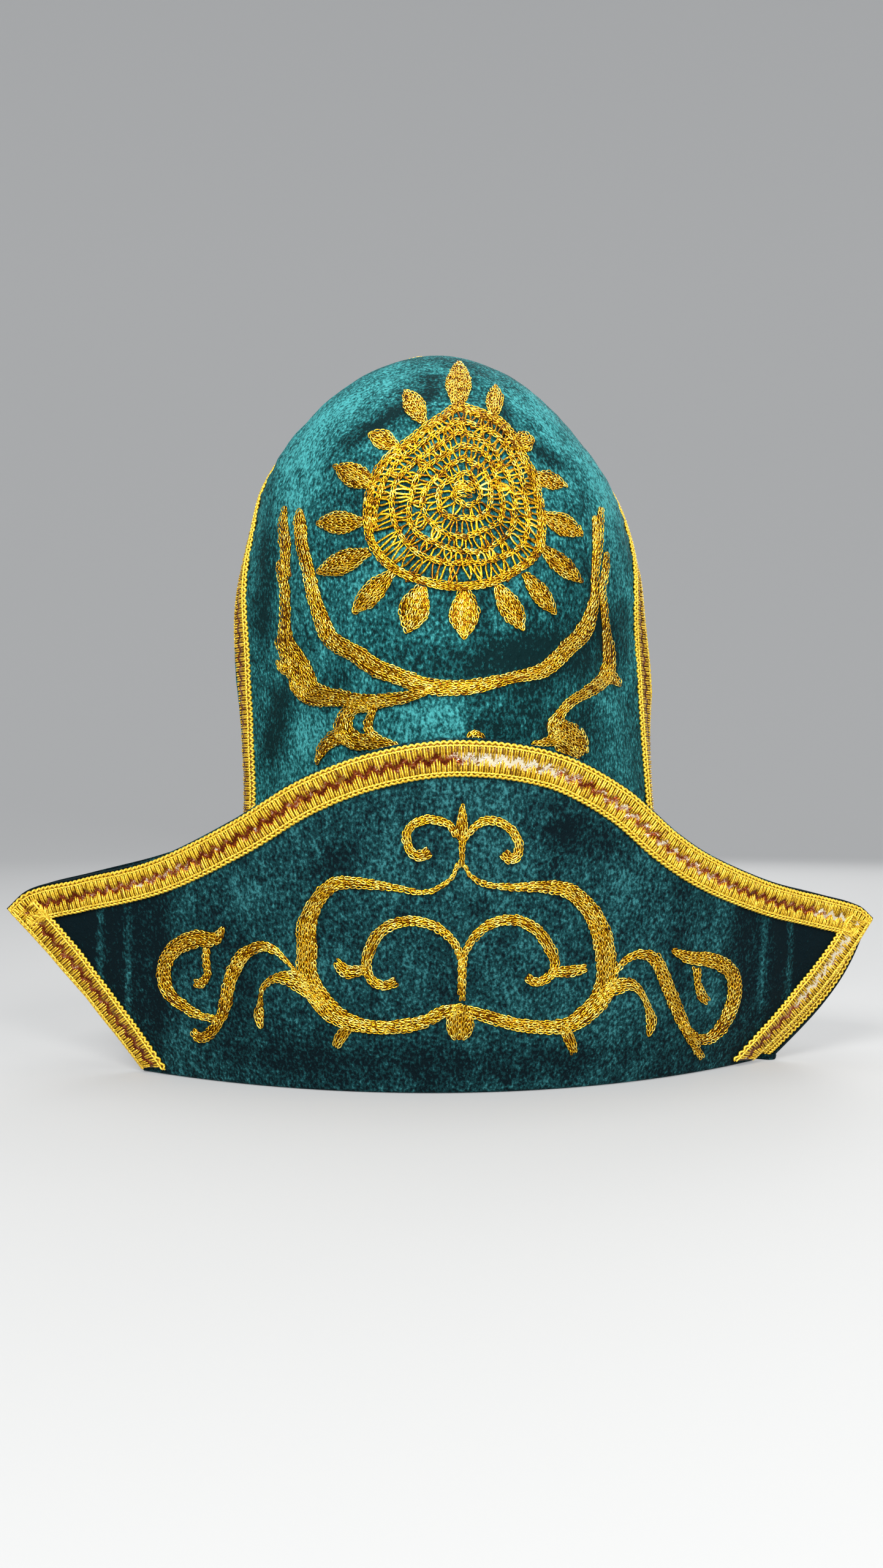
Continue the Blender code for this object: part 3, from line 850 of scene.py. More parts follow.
def foil_part(tracks, normals, lift, rng):
    """The foil strip, kinked into small facets where the yarn holds it down."""
    length = np.linalg.norm(np.diff(tracks[:, 1], axis=0), axis=1).sum()
    steps = np.arange(FOIL_INSET, length - FOIL_INSET, TOOTH_PITCH / FOIL_FACETS)
    reach = np.linspace(-FOIL_HALF_WIDTH, FOIL_HALF_WIDTH, FOIL_FACETS + 1)
    kinks = rng.uniform(-FOIL_KINK, FOIL_KINK, (len(steps), len(reach)))
    high = lift + BRAID_BODY + FOIL_HEIGHT + kinks
    top, _ = laid(tracks, normals, steps[:, None], reach[None], high)
    low, _ = laid(tracks, normals, steps[:, None], reach[None], high - FOIL_THICKNESS)
    points, faces = closed_strip(np.concatenate((top, low[:, ::-1]), axis=1))
    glints = mark_amount(FOIL_GLINTS, points[:, 0], points[:, 2])
    tone = FOIL_TONE + rng.normal(0, FOIL_TONE_SPREAD, len(points)) + glints
    return points, faces, tone


def yarn_glint_group():
    """Unevenness of metallic yarn: a colour between shade and light, and the twist of its plies."""
    inputs = {"Tone": "NodeSocketFloat", "Deep": "NodeSocketColor", "Body": "NodeSocketColor",
              "Bright": "NodeSocketColor"}
    outputs = {"Colour": "NodeSocketColor", "Twist": "NodeSocketFloat"}
    group, given, out = effect_group("yarn_glint", inputs, outputs)
    place = node(group, "ShaderNodeTexCoord")
    ply = sized_noise(group, place.outputs["Object"], 1500, 2)
    wear = sized_noise(group, place.outputs["Object"], 160, 2)
    level = weighted(group, given.outputs["Tone"], 0.5, 1.0, 0.5)
    level = weighted(group, ply, 0.5, 1.8, level)
    level = weighted(group, wear, 0.5, 0.16, level)
    mixed, colour = given, "Deep"
    for lighter, start in (("Body", 0.0), ("Bright", 0.5)):
        ranged = node(group, "ShaderNodeMapRange", {"From Min": start, "From Max": start + 0.5})
        group.links.new(level, ranged.inputs["Value"])
        mix = node(group, "ShaderNodeMix", data_type="RGBA")
        join(group, ranged, "Result", mix, "Factor")
        join(group, mixed, colour, mix, "A")
        join(group, given, lighter, mix, "B")
        mixed, colour = mix, "Result"
    join(group, mixed, colour, out, "Colour")
    group.links.new(ply, out.inputs["Twist"])
    return group


def metallic_yarn(name, deep, body, bright, metal, roughness):
    """Yarn wound with metal, from its shaded, body and bright colours."""
    material, tree, shader = new_material(name)
    tone = node(tree, "ShaderNodeAttribute", attribute_name="tone")
    glint = node(tree, "ShaderNodeGroup", node_tree=YARN_GLINT)
    set_inputs(glint, {"Deep": deep, "Body": body, "Bright": bright})
    join(tree, tone, "Fac", glint, "Tone")
    join(tree, glint, "Colour", shader, "Base Color")
    add_bump(tree, shader, glint, "Twist", strength=0.5, distance=0.0003)
    set_inputs(shader, {"Metallic": metal, "Roughness": roughness})
    return material


YARN_GLINT = yarn_glint_group()
GIMP_YARN = metallic_yarn("gimp_yarn", deep=(0.15, 0.060, 0.001, 1), body=(0.56, 0.34, 0.006, 1),
                          bright=(0.88, 0.62, 0.07, 1), metal=0.45, roughness=0.38)
FOIL = metallic_yarn("braid_foil", deep=(0.12, 0.020, 0.006, 1), body=(0.38, 0.080, 0.018, 1),
                     bright=(1.0, 0.88, 0.62, 1), metal=1.0, roughness=0.14)


def add_braid(name, tracks, normals, lift, seed, *nodes):
    """The gimp and the foil of one braid as two pieces."""
    rng = np.random.default_rng(seed)
    gimp = joined_mesh(f"{name}_gimp", gimp_parts(tracks, normals, lift, rng))
    add_piece(f"{name}_gimp", gimp, GIMP_YARN, "gold_braid", *nodes)
    foil = joined_mesh(f"{name}_foil", [foil_part(tracks, normals, lift, rng)])
    foil.shade_flat()
    add_piece(f"{name}_foil", foil, FOIL, "gold_foil")


def free_edge(flap):
    """The free edge of a flap, slit edges and top, run so that the cloth lies on its inner side."""
    rises = np.linspace(0, 1, 19)[:-1]
    shares = np.linspace(-1, 1, 161)
    left = flap_middle(flap, -1.0, rises) + flap_normal(flap, -1.0, rises) * FLAP_WALL / 2
    top = flap_middle(flap, shares, 1.0) + flap_normal(flap, shares, 1.0) * FLAP_WALL / 2
    right = flap_middle(flap, 1.0, rises[::-1]) + flap_normal(flap, 1.0, rises[::-1]) * FLAP_WALL / 2
    return np.concatenate((left, top, right))[::flap.facing]


def angle_beside(row, angle, reach):
    """The angle that lies a distance along the section from another. A negative distance runs back."""
    angles = angle + np.linspace(0, math.copysign(ANGLE_REACH, reach), 2 * ANGLE_REACH + 1)
    return float(np.interp(abs(reach), gone_along(crown_ring(row, angles)), angles))


def seam_spots(way, side):
    """Outer edge, middle and inner edge of the seam braid at one height, with normals."""
    row = crown_row(way)
    seam = row.seam_left if side < 0 else row.seam_right
    line, line_off = [], []
    for reach in (-BRAID_WIDTH / 2, 0.0, BRAID_WIDTH / 2):
        angle = angle_beside(row, side * seam, -side * (reach or 1e-6))
        line.append(crown_ring(row, [angle])[0])
        ahead = crown_ring(row, [angle - 1, angle + 1])
        up = crown_ring(crown_row(way + 0.004), [angle])[0] - crown_ring(crown_row(way - 0.004), [angle])[0]
        off = np.cross(ahead[1] - ahead[0], up)
        line_off.append(off / np.linalg.norm(off))
    return line, line_off


def seam_tracks():
    """Up the left seam, over the top and down the right seam."""
    ways = [way for way in np.linspace(0, 1, SEAM_BRAID_STEPS)
            if crown_row(way).height > SEAM_BRAID_FOOT and crown_row(way).half_width > BRAID_WIDTH / 2 + 1]
    left = [seam_spots(way, -1) for way in ways]
    right = [seam_spots(way, 1) for way in reversed(ways)]
    apex = CROWN_ROWS[-1]
    depths = np.array((BRAID_WIDTH / 2, 0.0, -BRAID_WIDTH / 2)) + CREST_BACK
    crest = [(apex.centre_x, apex.centre_y + depth, apex.height - abs(depth) * 0.06) for depth in depths]
    rows = left + [(crest, [(0.0, 0.0, 1.0)] * 3)] + right
    return np.array([row[0] for row in rows]), np.array([row[1] for row in rows])


tracks, normals = seam_tracks()
add_braid("crown_seam", tracks, normals, SEAM_BRAID_LIFT, 3, "crown_seam_braid")
for side, flap, seed in (("front", FRONT_FLAP, 5), ("back", BACK_FLAP, 7)):
    outside = Vector((0, flap.facing, 0.2))
    tracks, normals = edge_tracks(cloth_tree(flap_faces[side]), free_edge(flap), outside)
    add_braid(f"brim_{side}", tracks, normals, BRAID_LIFT, seed, f"brim_{side}_braid")

# At the right slit the back flap's braid also covers its inner side, which shows past the front flap. It is
# the same braid, turned over the edge, and it runs down a little past the flap's foot.
turned_edge = (flap_middle(BACK_FLAP, 1.0, np.linspace(0, 0.9, 17))
               - flap_normal(BACK_FLAP, 1.0, np.linspace(0, 0.9, 17)) * FLAP_WALL / 2)
tracks, normals = edge_tracks(cloth_tree(flap_linings["back"]), turned_edge, Vector((0, -1, 0.2)))
turned_foot = tracks[:1] + (tracks[:1] - tracks[1:2]) * TURNED_FOOT
tracks = np.concatenate((turned_foot, tracks))
normals = np.concatenate((normals[:1], normals))
add_braid("brim_slit", tracks, normals, BRAID_LIFT, 9)


# Gold chain stitch: looped links of metallic thread in close rows over flat amber padding stitches. The
# padding is painted darker than the links, as painted shade in the gaps between them. The rows follow the
# shape that they fill. Places and widths are read off the photograph, in its pixels.
LINK_LENGTH = 2.35
LINK_OVERLAP = 1.18
THREAD_RADIUS = 0.25
ROW_PITCH_PIXELS = 4.9
ROW_INSET = 0.45
ROW_LEAST = 0.25
ROW_ROOM = 0.62
STITCH_LIFT = 0.42
PAD_LIFT = 0.30
PATH_STEP_PIXELS = 3.0
LINK_SIDES = 4
LOOP_HEIGHT = 0.2
LOOP_SHADE = 1.6
LOOP_RISE = 1.3
LENGTH_UNEVEN = 0.07
WIDTH_UNEVEN = 0.12
TILT_UNEVEN = 0.13
LOOP_UNEVEN = 0.05
TONE_UNEVEN = 0.2
PAD_SECTION = ((-1.0, -0.3), (-0.86, 0.5), (0.0, 1.0), (0.86, 0.5), (1.0, -0.3))
PAD_INSET_PIXELS = 1.2
PAD_LEAST_PIXELS = 0.8
# Painted shade: the padding is this much darker than the links over it.
PAD_SHADE = 0.7
# Painted shade: the links grow darker towards both sides of the hat.
SIDE_SHADE = 0.06
SIDE_SHADE_REACH = 100
LinkPoint = namedtuple("LinkPoint", "along across height")
LINK_LOOP = table(
    LinkPoint,
    (0.00, 0.00, 0.30),
    (0.22, 0.26, 0.34),
    (0.55, 0.40, 0.26),
    (0.86, 0.34, 0.10),
    (1.00, 0.00, 0.00),
    (0.86, -0.34, 0.10),
    (0.55, -0.40, 0.26),
    (0.22, -0.26, 0.34),
)

crown_tree = cloth_tree(crown_faces["front"])
brim_tree = cloth_tree(flap_faces["front"])


def sight_lines(pixels):
    """Directions from the camera through places of the picture."""
    right = (pixels[:, :1] - PICTURE_WIDTH / 2) / FOCAL_PIXELS
    down = (pixels[:, 1:2] - PICTURE_HEIGHT / 2) / FOCAL_PIXELS
    return view_ahead + view_right * right + view_down * down


def on_cloth(tree, pixels):
    """Where sight lines meet the cloth, with the normals there. A line that misses gives no place."""
    spots = np.full((len(pixels), 3), np.nan)
    offs = np.full((len(pixels), 3), np.nan)
    for i, line in enumerate(sight_lines(pixels)):
        hit, normal, _, _ = tree.ray_cast(Vector(camera_spot), Vector(line))
        if hit is not None:
            spots[i] = hit
            offs[i] = normal if normal.dot(Vector(line)) < 0 else -normal
    return spots, offs


def smooth_path(points, closed=False, step=PATH_STEP_PIXELS):
    """A smooth path with even steps through rows of picture x, picture y and width."""
    points = np.array(points, float)
    if closed:
        padded = np.concatenate((points[-1:], points, points[:2]))
    else:
        padded = np.concatenate((2 * points[:1] - points[1:2], points, 2 * points[-1:] - points[-2:-1]))
    part = np.linspace(0, 1, 12, endpoint=False)[:, None]
    pieces = [smooth_between(*padded[i:i + 4], part) for i in range(len(padded) - 3)]
    dense = np.concatenate((*pieces, padded[-2:-1]))
    gone = gone_along(dense[:, :2])
    return read_at(np.linspace(0, gone[-1], max(int(gone[-1] / step), 3) + 1), gone, dense)


def sideways(path):
    """Unit directions across a path, in the picture."""
    ahead = unit(np.gradient(path[:, :2], axis=0))
    return np.stack((-ahead[:, 1], ahead[:, 0]), axis=1)


def fill_rows(path):
    """Rows that fill a stroke: one along each side and the others between them, where there is room."""
    across = sideways(path)
    edge = np.maximum(path[:, 2] / 2 - ROW_PITCH_PIXELS * ROW_INSET, 0.0)
    rows = []
    for side in (-1, 1):
        if edge.max() > ROW_PITCH_PIXELS * ROW_LEAST or side > 0:
            rows.append(path[:, :2] + across * (side * edge)[:, None])
    count = int(edge.max() / ROW_PITCH_PIXELS) + 1
    for place in range(1 - count, count):
        offset = place * ROW_PITCH_PIXELS
        room = np.abs(offset) < edge - ROW_PITCH_PIXELS * ROW_ROOM
        starts = np.flatnonzero(np.diff(np.concatenate(((False,), room, (False,))).astype(int)))
        for first, last in zip(starts[::2], starts[1::2]):
            if last - first > 1:
                rows.append(path[first:last, :2] + across[first:last] * offset)
    return rows


def links_along(tree, row, pitch, rng, length=LINK_LENGTH):
    """Frames of the chain links along one row of the picture: start, reach ahead, half width and normal."""
    spots, offs = on_cloth(tree, row)
    good = ~np.isnan(spots[:, 0])
    if good.sum() < 2:
        return []
    spots, offs, row = spots[good], offs[good], row[good]
    gone = gone_along(spots)
    marks = np.linspace(0, gone[-1], max(int(round(gone[-1] / length)), 1) + 1)
    start, off, pixel = (read_at(marks, gone, path) for path in (spots, offs, row))
    ahead = np.diff(start, axis=0)
    off = unit(off[:-1] + off[1:])
    middle = (pixel[:-1] + pixel[1:]) / 2
    run = unit(np.diff(pixel, axis=0))
    beside = np.stack((-run[:, 1], run[:, 0]), axis=1)
    centre = (start[:-1] + start[1:]) / 2
    ends = []
    for side in (-0.5, 0.5):
        line = sight_lines(middle + beside * pitch * side)
        depth = ((centre - camera_spot) * off).sum(axis=1) / np.minimum((line * off).sum(axis=1), -0.25)
        ends.append(camera_spot + line * depth[:, None])
    across = ends[1] - ends[0]
    across -= off * (across * off).sum(axis=1, keepdims=True)
    if rng.random() < 0.5:
        return list(zip(start[1:], -ahead, -across, off))
    return list(zip(start[:-1], ahead, across, off))


def link_part(links, rng, tone, over=0.0, radius=THREAD_RADIUS):
    """Looped links of thread on their frames, each a little uneven; painted shade where they dip and to the
    sides.
    """
    start, ahead, across, off = (np.array(column) for column in zip(*links))
    count = len(start)
    ahead = ahead * LINK_OVERLAP * rng.normal(1.0, LENGTH_UNEVEN, (count, 1))
    across = across * rng.normal(1.0, WIDTH_UNEVEN, (count, 1))
    tilt = rng.normal(0, TILT_UNEVEN, (count, 1))
    ahead, across = ahead + across * tilt, across - ahead * tilt * 0.25
    start = start + across * rng.normal(0, LENGTH_UNEVEN, (count, 1))
    start = start + ahead * rng.normal(0, LENGTH_UNEVEN, (count, 1))
    lift = STITCH_LIFT + over + rng.normal(0, WIDTH_UNEVEN, (count, 1))
    loop = np.array(LINK_LOOP)
    wobble = rng.normal(0, LOOP_UNEVEN, (count, len(loop), 1))
    centres = (start[:, None] + ahead[:, None] * loop[None, :, :1]
               + across[:, None] * (loop[None, :, 1:2] + wobble)
               + off[:, None] * (loop[None, :, 2:] * LOOP_RISE + lift[:, None]))
    ups = np.broadcast_to(off[:, None], centres.shape)
    points, faces = tubes(centres, ups, radius, LINK_SIDES, closed=True)
    # Painted shade where each loop dips into the cloth.
    dip_shade = (loop[:, 2] - LOOP_HEIGHT) * LOOP_SHADE
    # Painted shade towards the sides of the hat.
    side_shade = SIDE_SHADE * (start[:, 0] / SIDE_SHADE_REACH) ** 2
    tones = (rng.normal(tone, TONE_UNEVEN, count) - side_shade)[:, None] + dip_shade
    return points, faces, np.repeat(tones.ravel(), LINK_SIDES)


def padding_part(tree, path, tone):
    """Flat padding stitches under a stroke, crowned in the middle and tucked to the cloth at the sides."""
    across = sideways(path)
    half = np.maximum(path[:, 2] / 2 - PAD_INSET_PIXELS, PAD_LEAST_PIXELS)
    columns = []
    for share, high in PAD_SECTION:
        spots, offs = on_cloth(tree, path[:, :2] + across * (share * half)[:, None])
        columns.append(spots + offs * high * PAD_LIFT)
    grid = np.stack(columns, axis=1)
    good = ~np.isnan(grid[:, :, 0]).any(axis=1)
    grid = grid[good]
    return grid.reshape(-1, 3), grid_faces(numbered(grid)).tolist(), tone


def stitched(name, tree, strokes, seed, tone=0.5):
    """One embroidered figure from its strokes, each a list of picture x, picture y and width."""
    rng = np.random.default_rng(seed)
    links, parts = [], []
    for stroke in strokes:
        path = smooth_path(stroke)
        parts.append(padding_part(tree, path, tone - PAD_SHADE))
        for row in fill_rows(path):
            links += links_along(tree, row, ROW_PITCH_PIXELS, rng)
    parts.append(link_part(links, rng, tone))
    add_piece(name, joined_mesh(name, parts), GOLD_THREAD, "gold_thread")


GOLD_THREAD = metallic_yarn("gold_thread", deep=(0.16, 0.055, 0.001, 1), body=(0.80, 0.44, 0.008, 1),
                            bright=(1.0, 0.82, 0.17, 1), metal=0.92, roughness=0.30)

# The sun: a solid rim of three rows, a spiral of chain stitch that runs in to a small filled middle, and long
# open links of heavier thread between its turns, so that velvet shows through. All is metallic thread.
SUN_CENTRE = (758, 803)
SUN_RIM = (
    (747, 661), (783, 671), (819, 687), (840, 712), (854, 741), (872, 775), (881, 808), (888, 853),
    (881, 906), (846, 937), (796, 960), (734, 966), (685, 955), (636, 933), (604, 897), (593, 853),
    (598, 803), (608, 775), (622, 754), (640, 736), (663, 719), (698, 692), (722, 677),
)
RIM_WIDTH_PIXELS = 14
RIM_SHARE = 0.953
SPIRAL_WIDTH_PIXELS = 8.5
SPIRAL_START = 0.70
SPIRAL_SHARE = 0.86
SPIRAL_PITCH = 0.15
SPIRAL_END = 0.03
SPIRAL_STEP = 0.01
SPIRAL_WOBBLE = 0.012
POST_PITCH_PIXELS = 11.0
POST_WIDTH_PIXELS = 12.5
POST_RADIUS = 0.50
POST_LENGTH = 20.0
POST_START = 0.04
POST_END = 0.94
POST_END_UNEVEN = 0.04
POST_UNEVEN_PIXELS = 1.5
POST_LEAN = 3.5
# The sun's padding is darker than its links: painted shade in the gaps.
SUN_PAD_SHADE_TONE = 0.1
SUN_TONE = 0.28
POST_TONE = 0.14
SUN_MIDDLE = ((742, 803, 20), (758, 800, 30), (774, 806, 20))
SPIRAL_OVER_POSTS = 0.35

sun_rim = smooth_path([(*place, RIM_WIDTH_PIXELS) for place in SUN_RIM], closed=True, step=1.0)


def sun_place(turn, share):
    """A place on the sun: a part of the way round its rim, and a share of the way out to the rim."""
    centre = np.array(SUN_CENTRE)
    rim = sun_rim[int(turn % 1 * (len(sun_rim) - 1)), :2]
    return centre + (rim - centre) * share


def spiral_share(turn):
    """How far out the spiral runs. It goes in evenly, with a little unevenness of the hand."""
    if turn < SPIRAL_START:
        return RIM_SHARE
    uneven = SPIRAL_WOBBLE * (math.sin(11 * turn) + math.sin(29 * turn))
    return max(SPIRAL_SHARE - SPIRAL_PITCH * (turn - SPIRAL_START) + uneven, SPIRAL_END)


rng = np.random.default_rng(11)
turns = np.arange(SPIRAL_START, SPIRAL_START + (SPIRAL_SHARE - SPIRAL_END) / SPIRAL_PITCH, SPIRAL_STEP)
spiral = np.array([(*sun_place(turn, spiral_share(turn)), SPIRAL_WIDTH_PIXELS) for turn in turns])
rim_turns = np.linspace(0, 1, 60)[:-1]
rim_centre = np.array([(*sun_place(turn, RIM_SHARE), RIM_WIDTH_PIXELS) for turn in rim_turns])
rim_path = smooth_path(rim_centre, closed=True)
sun_parts = [padding_part(crown_tree, rim_path, SUN_PAD_SHADE_TONE)]
sun_links, post_links = [], []
for path in (rim_path, smooth_path(spiral), smooth_path(SUN_MIDDLE)):
    for row in fill_rows(path):
        sun_links += links_along(crown_tree, row, ROW_PITCH_PIXELS, rng)
gone = gone_along(spiral[:, :2])
for place in np.arange(0, gone[-1], POST_PITCH_PIXELS):
    turn = float(np.interp(place + rng.normal(0, POST_UNEVEN_PIXELS), gone, turns))
    lean = rng.normal(0, POST_LEAN) / max(gone[-1] / len(turns) / SPIRAL_STEP, 1)
    foot = sun_place(turn, spiral_share(turn))
    head = sun_place(turn + lean, spiral_share(turn - 1))
    reach = np.linspace(POST_START, rng.normal(POST_END, POST_END_UNEVEN), 4)[:, None]
    post_row = foot + (head - foot) * reach
    post_links += links_along(crown_tree, post_row, POST_WIDTH_PIXELS, rng, length=POST_LENGTH)
sun_parts.append(link_part(sun_links, rng, SUN_TONE, over=SPIRAL_OVER_POSTS))
sun_parts.append(link_part(post_links, rng, POST_TONE, radius=POST_RADIUS))
add_piece("sun_rings", joined_mesh("sun_rings", sun_parts), GOLD_THREAD, "gold_thread")

# The petals: sixteen short solid rays round the sun, widest in the middle, pointed at the tip and narrower at
# the foot, where they meet the rim. Each is padded and filled with close rows of chain stitch.
Petal = namedtuple("Petal", "foot_x foot_y tip_x tip_y width")
PETALS = table(
    Petal,
    (747, 663, 749, 593, 42),
    (805, 678, 808, 632, 29),
    (837, 728, 869, 719, 36),
    (870, 777, 922, 794, 28),
    (890, 844, 948, 873, 36),
    (886, 897, 946, 950, 31),
    (859, 942, 904, 1002, 30),
    (814, 962, 852, 1027, 38),
    (758, 969, 757, 1041, 49),
    (687, 964, 665, 1031, 49),
    (636, 940, 578, 1000, 36),
    (596, 904, 521, 935, 38),
    (587, 853, 520, 855, 38),
    (607, 790, 549, 763, 40),
    (645, 728, 604, 710, 33),
    (689, 687, 663, 640, 36),
)
PetalShape = namedtuple("PetalShape", "along width")
PETAL_SHAPE = table(
    PetalShape,
    (-0.10, 0.34),
    (0.08, 0.60),
    (0.30, 0.92),
    (0.52, 1.00),
    (0.74, 0.78),
    (0.90, 0.42),
    (1.02, 0.12),
)

petal_strokes = []
for petal in PETALS:
    foot = np.array((petal.foot_x, petal.foot_y))
    tip = np.array((petal.tip_x, petal.tip_y))
    run = tip - foot
    petal_strokes.append([(*(foot + run * row.along), petal.width * row.width) for row in PETAL_SHAPE])
stitched("sun_petals", crown_tree, petal_strokes, 13, tone=0.48)

# The wings: one long stroke on each side that sweeps from a pointed tip down and in to the middle, with a
# second strand beside it and a branch that ends at the brim. Rows of chain stitch lie over padding.
WING_SWEEP = (
    (491, 832, 8), (491, 852, 20), (495, 893, 20), (504, 928, 20), (513, 969, 22), (526, 1009, 25),
    (542, 1044, 27), (582, 1067, 28), (613, 1089, 29), (654, 1105, 28), (698, 1120, 27), (752, 1123, 25),
    (796, 1116, 22), (841, 1105, 18), (886, 1094, 25), (921, 1062, 26), (953, 1027, 27), (968, 977, 14),
    (970, 933, 13), (975, 879, 16), (979, 830, 8),
)
WING_TIP_RIGHT = ((970, 905, 8), (969, 870, 8), (968, 843, 6))
WING_LEFT_OUTER = ((467, 828, 6), (464, 852, 15), (467, 888, 18), (468, 919, 14), (473, 942, 8))
WING_LEFT_STRAND = (
    (457, 917, 8), (462, 942, 15), (467, 964, 16), (467, 1004, 17), (467, 1031, 22), (469, 1053, 33),
    (482, 1076, 38), (491, 1096, 42), (500, 1120, 44), (516, 1134, 38), (560, 1140, 26), (600, 1145, 24),
    (640, 1142, 21), (680, 1134, 16), (707, 1125, 10),
)
WING_LEFT_LOBES = (
    ((462, 1076, 20), (466, 1090, 22), (478, 1096, 16)),
    ((482, 1112, 18), (486, 1125, 18), (502, 1130, 14)),
)
WING_LEFT_NECK = (
    (604, 1152, 22), (582, 1154, 22), (568, 1166, 24), (562, 1182, 28), (566, 1198, 34), (584, 1210, 30),
    (612, 1212, 24), (636, 1214, 14), (652, 1218, 6),
)
WING_LEFT_TIE = ((612, 1150, 12), (608, 1166, 12), (602, 1180, 14), (606, 1196, 14), (622, 1206, 10))
WING_LEFT_BRANCH = ((566, 1196, 26), (548, 1206, 26), (532, 1218, 20), (524, 1232, 14), (519, 1246, 6))
WING_RIGHT_OUTER = (
    (987, 902, 6), (987, 926, 12), (982, 955, 10), (982, 978, 11), (985, 1004, 12), (988, 1030, 13),
    (991, 1056, 19), (992, 1080, 20), (988, 1100, 24), (976, 1116, 22), (953, 1132, 18), (930, 1146, 16),
    (912, 1166, 16), (906, 1184, 32), (925, 1206, 56), (940, 1222, 46), (950, 1233, 20),
)
WING_RIGHT_ELBOW = ((984, 1098, 22), (998, 1108, 20), (1010, 1118, 8))
WING_RIGHT_FOOT = ((918, 1196, 20), (896, 1210, 16), (868, 1214, 6))
WING_KNOT = ((762, 1206, 6), (770, 1198, 12), (780, 1198, 12), (788, 1206, 6))

stitched("wing_sweep", crown_tree, (WING_SWEEP, WING_TIP_RIGHT), 17)
wing_left = (WING_LEFT_OUTER, WING_LEFT_STRAND, *WING_LEFT_LOBES, WING_LEFT_NECK, WING_LEFT_TIE,
             WING_LEFT_BRANCH)
stitched("wing_left_strands", crown_tree, wing_left, 19, tone=0.42)
wing_right = (WING_RIGHT_OUTER, WING_RIGHT_ELBOW, WING_RIGHT_FOOT, WING_KNOT)
stitched("wing_right_strands", crown_tree, wing_right, 23)

# The brim's scrolls: a plume in the middle, and on each side a large C scroll with an inner curl, a leaf and
# an outer curl towards the wing tip. They are padded and filled as the wings are.
SCROLLS_MIDDLE = (
    ((754, 1313, 4), (754, 1340, 18), (754, 1362, 18), (754, 1382, 8)),
    ((754, 1382, 9), (754, 1398, 9), (753, 1415, 9)),
    ((743, 1364, 8), (732, 1345, 13), (701, 1337, 14), (675, 1345, 14), (663, 1364, 14), (669, 1387, 14),
     (686, 1398, 16), (701, 1389, 20)),
    ((758, 1369, 8), (781, 1344, 13), (809, 1340, 14), (835, 1355, 14), (846, 1378, 14), (844, 1396, 14),
     (832, 1403, 16), (821, 1392, 20)),
    ((754, 1640, 22), (751, 1662, 44), (750, 1682, 42), (749, 1697, 20)),
)
SCROLLS_LEFT = (
    ((747, 1410, 6), (736, 1433, 7), (709, 1452, 8), (682, 1456, 9), (655, 1450, 10), (613, 1444, 15),
     (575, 1440, 19), (544, 1444, 23), (518, 1471, 25), (502, 1509, 31), (502, 1547, 33), (502, 1586, 33),
     (514, 1616, 34), (537, 1647, 34), (567, 1666, 27), (613, 1676, 21), (659, 1674, 23), (694, 1666, 21),
     (724, 1651, 20), (754, 1645, 16)),
    ((751, 1620, 9), (751, 1563, 11), (736, 1532, 13), (705, 1509, 15), (663, 1503, 17), (625, 1517, 17),
     (606, 1544, 19), (598, 1574, 15), (606, 1597, 15), (625, 1609, 15), (646, 1601, 17)),
    ((598, 1582, 14), (567, 1586, 21), (550, 1570, 13)),
    ((567, 1678, 16), (556, 1694, 19), (548, 1708, 12)),
    ((483, 1586, 6), (464, 1563, 8), (437, 1545, 15), (407, 1551, 20), (388, 1574, 23), (376, 1601, 21),
     (370, 1632, 21), (363, 1658, 17), (345, 1685, 17), (326, 1693, 16), (317, 1681, 10)),
    ((365, 1513, 8), (353, 1532, 20), (322, 1532, 29), (292, 1544, 27), (273, 1567, 23), (269, 1597, 23),
     (280, 1624, 20), (303, 1643, 17), (330, 1658, 12), (357, 1662, 10)),
    ((338, 1547, 12), (338, 1570, 12), (340, 1589, 12), (330, 1605, 16), (319, 1603, 12)),
    ((529, 1639, 14), (506, 1616, 27), (476, 1597, 27), (449, 1597, 13), (430, 1612, 9), (426, 1635, 8),
     (424, 1658, 17), (428, 1677, 6)),
)
SCROLLS_RIGHT = (
    ((758, 1412, 6), (767, 1428, 7), (790, 1442, 9), (827, 1447, 11), (860, 1447, 15), (892, 1447, 20),
     (928, 1454, 25), (960, 1483, 29), (979, 1520, 32), (988, 1566, 33), (988, 1603, 34), (974, 1635, 32),
     (938, 1667, 27), (901, 1676, 22), (846, 1672, 21), (800, 1660, 20), (763, 1649, 18)),
    ((754, 1632, 9), (755, 1590, 11), (758, 1557, 12), (777, 1525, 14), (809, 1504, 16), (846, 1502, 17),
     (878, 1520, 18), (896, 1548, 18), (905, 1571, 15), (896, 1594, 14), (873, 1603, 14), (859, 1594, 16)),
    ((900, 1586, 14), (928, 1585, 20), (956, 1580, 12)),
    ((919, 1676, 16), (928, 1696, 19), (936, 1718, 12)),
    ((1002, 1589, 6), (1020, 1566, 10), (1048, 1557, 16), (1071, 1571, 21), (1089, 1612, 22),
     (1108, 1658, 20), (1126, 1695, 16), (1144, 1727, 10)),
    ((1108, 1663, 10), (1131, 1690, 14), (1154, 1695, 18), (1176, 1676, 20), (1193, 1640, 22),
     (1197, 1603, 23), (1186, 1580, 24), (1158, 1566, 25), (1121, 1562, 20), (1096, 1550, 8)),
    ((1135, 1580, 12), (1138, 1607, 12), (1144, 1626, 15), (1154, 1635, 11)),
    ((974, 1631, 14), (1000, 1612, 24), (1024, 1606, 20), (1039, 1612, 13), (1055, 1640, 10),
     (1062, 1667, 16), (1057, 1690, 6)),
)

